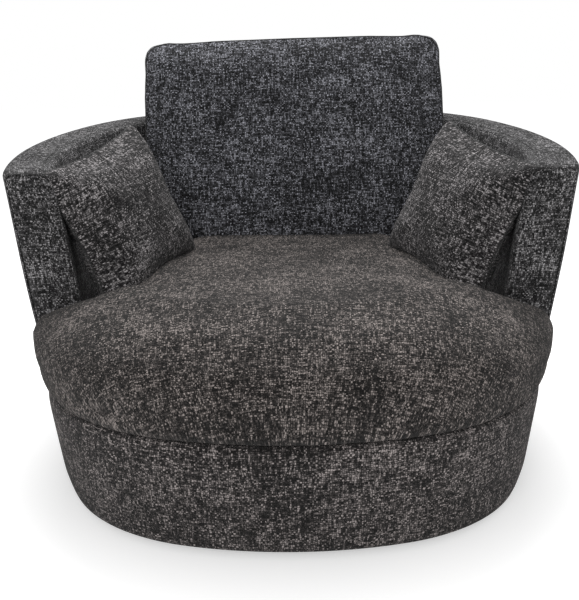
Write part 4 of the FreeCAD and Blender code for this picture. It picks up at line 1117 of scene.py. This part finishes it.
def scatter_cushion(side):
    """A knife-edged square cushion, full in the middle, that leans between the arm and the back."""
    name = "right" if side > 0 else "left"
    thick = SCATTER_THICK / 2 - 0.012
    rise = [(1.0, 0.16), (0.94, 0.36), (0.80, 0.57), (0.60, 0.74), (0.36, 0.88), (0.15, 0.965)]
    rings = [knife_ring(scale, -thick * up) for up, scale in rise] + [knife_ring(1.0, 0)]
    rings += [knife_ring(scale, thick * up) for up, scale in reversed(rise)]
    piece = closed_rows(f"scatter_{name}_tweed", rings)

    def held(places):
        reach = np.maximum(np.abs(places[:, 0]), np.abs(places[:, 1])) / (SCATTER_SIDE / 2)
        return 0.15 + 0.85 * (1 - smooth(0.72, 0.95, reach))

    swell(piece, 0.006, 0.014, held)
    finer(piece)
    half = SCATTER_SIDE / 2 + SCATTER_FULL
    fit_extent(piece, half, half, SCATTER_THICK / 2 + SCATTER_FULL)

    def settle(places):
        x, y, z = places.T
        z = z + 0.0022 * ripple(x, y, z, 22.0, 51 + side) * smooth(0.01, 0.04, np.abs(z))
        return np.stack([x, y, z], -1)

    reshape(piece, settle)

    def mapping(places, _, centres):
        x, y = places.T[:2]
        swollen = 1 + 0.10 * smooth(0.3, 1.0, np.maximum(np.abs(x), np.abs(y)) / (SCATTER_SIDE / 2))
        return np.stack([x * swollen, y * swollen + np.where(centres[:, 2] < 0, 1.0, 0.0)], -1)

    map_weave(piece, mapping)
    placement = scatter_matrix(side)
    set_up(piece, placement)
    if side > 0:
        piece.data.flip_normals()
    dress(piece, f"scatter_{name}", SCATTER_TWEED, "tweed_scatter", f"scatter_{name}_cover",
          f"scatter_{name}_filling", f"scatter_{name}_zip")
    # Painted shade: a near-black tube round the knife edge stands for the shade in its seam crease.
    ring, way_out = laid_on(piece, place_rows(knife_ring(1.0, 0) * np.array([1.03, 1.03, 1]), placement))
    seam_shade_line = tube(f"scatter_{name}_seam", ring, 0.0014, lift=way_out)
    dress(seam_shade_line, f"scatter_{name}", DARK_THREAD_AND_SEAM_SHADE, "tweed_scatter")
    return piece


felt_pad()
seat_cushion()
back_cushion()
scatter_cushion(-1)
scatter_cushion(1)


# The finish of the CAD nodes that stay

PIECE_FINISHES = {
    "plywood": ["floor_board", "base_skirt_ring", "base_deck_board", "base_top_ring", "arm_front_board_left",
                "arm_front_board_right", "tub_bottom_rail", "tub_top_rail"],
    "timber": ["base_ribs", "tub_ribs"],
    "hardboard": ["base_outer_panel", "tub_outer_panel", "tub_inner_panel"],
    "steel_plate": ["swivel_lower_plate", "swivel_upper_plate"],
    "screw_steel": ["lower_plate_screws", "upper_plate_screws", "frame_bolts", "rollers"],
    "spring_steel": ["seat_springs", "spring_clips"],
    "cage_plastic": ["roller_cage"],
    "glide_plastic": ["floor_glides", "centre_glide"],
}
for finish, names in PIECE_FINISHES.items():
    for name in names:
        mesh = frame["nodes"][name].data
        mesh.materials.clear()
        mesh.materials.append(NODE_FINISHES[finish])


# Camera, light and floor

EYE = (0, -2.0974, 0.9263)
PITCH, ROLL, LENS, SHIFT = 0.267, 0.014, 56.60, 0.0006
camera = bpy.data.cameras.new("Camera")
camera.sensor_fit, camera.sensor_width, camera.lens = "HORIZONTAL", 36, LENS
camera.shift_x = SHIFT
camera_object = bpy.data.objects.new("Camera", camera)
camera_object.location = EYE
camera_object.rotation_euler = (math.pi / 2 - PITCH, ROLL, 0)
bpy.context.scene.collection.objects.link(camera_object)
bpy.context.scene.camera = camera_object


def area_light(name, place, aim, size_across, power):
    lamp = bpy.data.lights.new(name, "AREA")
    lamp.shape, lamp.size, lamp.energy = "DISK", size_across, power
    lamp_object = bpy.data.objects.new(name, lamp)
    lamp_object.location = place
    lamp_object.rotation_euler = (Vector(aim) - Vector(place)).to_track_quat("-Z", "Y").to_euler()
    bpy.context.scene.collection.objects.link(lamp_object)


area_light("Key above and behind", (0.0, 1.3, 3.0), (0, 0.0, 0.5), 2.6, 84)
area_light("Front fill", (-0.4, -4.0, 1.9), (0, 0, 0.5), 3.0, 62)

world = bpy.data.worlds.new("Studio")
bpy.context.scene.world = world
world.use_nodes = True
background = world.node_tree.nodes["Background"]
background.inputs["Color"].default_value = (1, 1, 1, 1)
path = world.node_tree.nodes.new("ShaderNodeLightPath")
strength = world.node_tree.nodes.new("ShaderNodeMath")
strength.operation = "MULTIPLY_ADD"
strength.inputs[1].default_value = 0.55
strength.inputs[2].default_value = 0.45
world.node_tree.links.new(path.outputs["Is Camera Ray"], strength.inputs[0])
world.node_tree.links.new(strength.outputs[0], background.inputs["Strength"])


def floor():
    """A white floor that keeps the chair's soft shadow; camera rays see it lifted by a glow that is weaker
    near the chair, which paints the floor round the chair darker as shade.
    """
    reach = 14.0
    places = [(-reach, -reach, 0), (reach, -reach, 0), (reach, reach, 0), (-reach, reach, 0)]
    piece = finish_mesh("studio_floor", places, [(0, 1, 2, 3)])
    made = Finish("White floor", Roughness=0.9)
    made.shader.inputs["Base Color"].default_value = (0.72, 0.72, 0.72, 1)
    x, y, _ = made.parts(made.objects())
    away = (x * x + y * y).math("SQRT")
    # Painted shade: the glow is weakest within about 0.54 m of the chair's middle and full beyond about 0.84
    # m, so the floor round the chair is drawn darker.
    glow = made.node("Emission", Strength=1.0)
    tone = made.ramp((away * 0.5).clamp(), [(0.27, grey(0.46)), (0.42, grey(0.76))])
    made.tree.links.new(tone.socket, glow.inputs["Color"])
    seen = made.out(made.node("LightPath"), "Is Camera Ray")
    lift = made.tree.nodes.new("ShaderNodeAddShader")
    made.tree.links.new(made.shader.outputs[0], lift.inputs[0])
    made.tree.links.new(glow.outputs[0], lift.inputs[1])
    choice = made.tree.nodes.new("ShaderNodeMixShader")
    made.tree.links.new(seen.socket, choice.inputs[0])
    made.tree.links.new(made.shader.outputs[0], choice.inputs[1])
    made.tree.links.new(lift.outputs[0], choice.inputs[2])
    made.tree.links.new(choice.outputs[0], made.tree.nodes["Material Output"].inputs["Surface"])
    piece.data.materials.append(made.material)
    return piece


floor()
bpy.context.scene.view_settings.view_transform = "Standard"
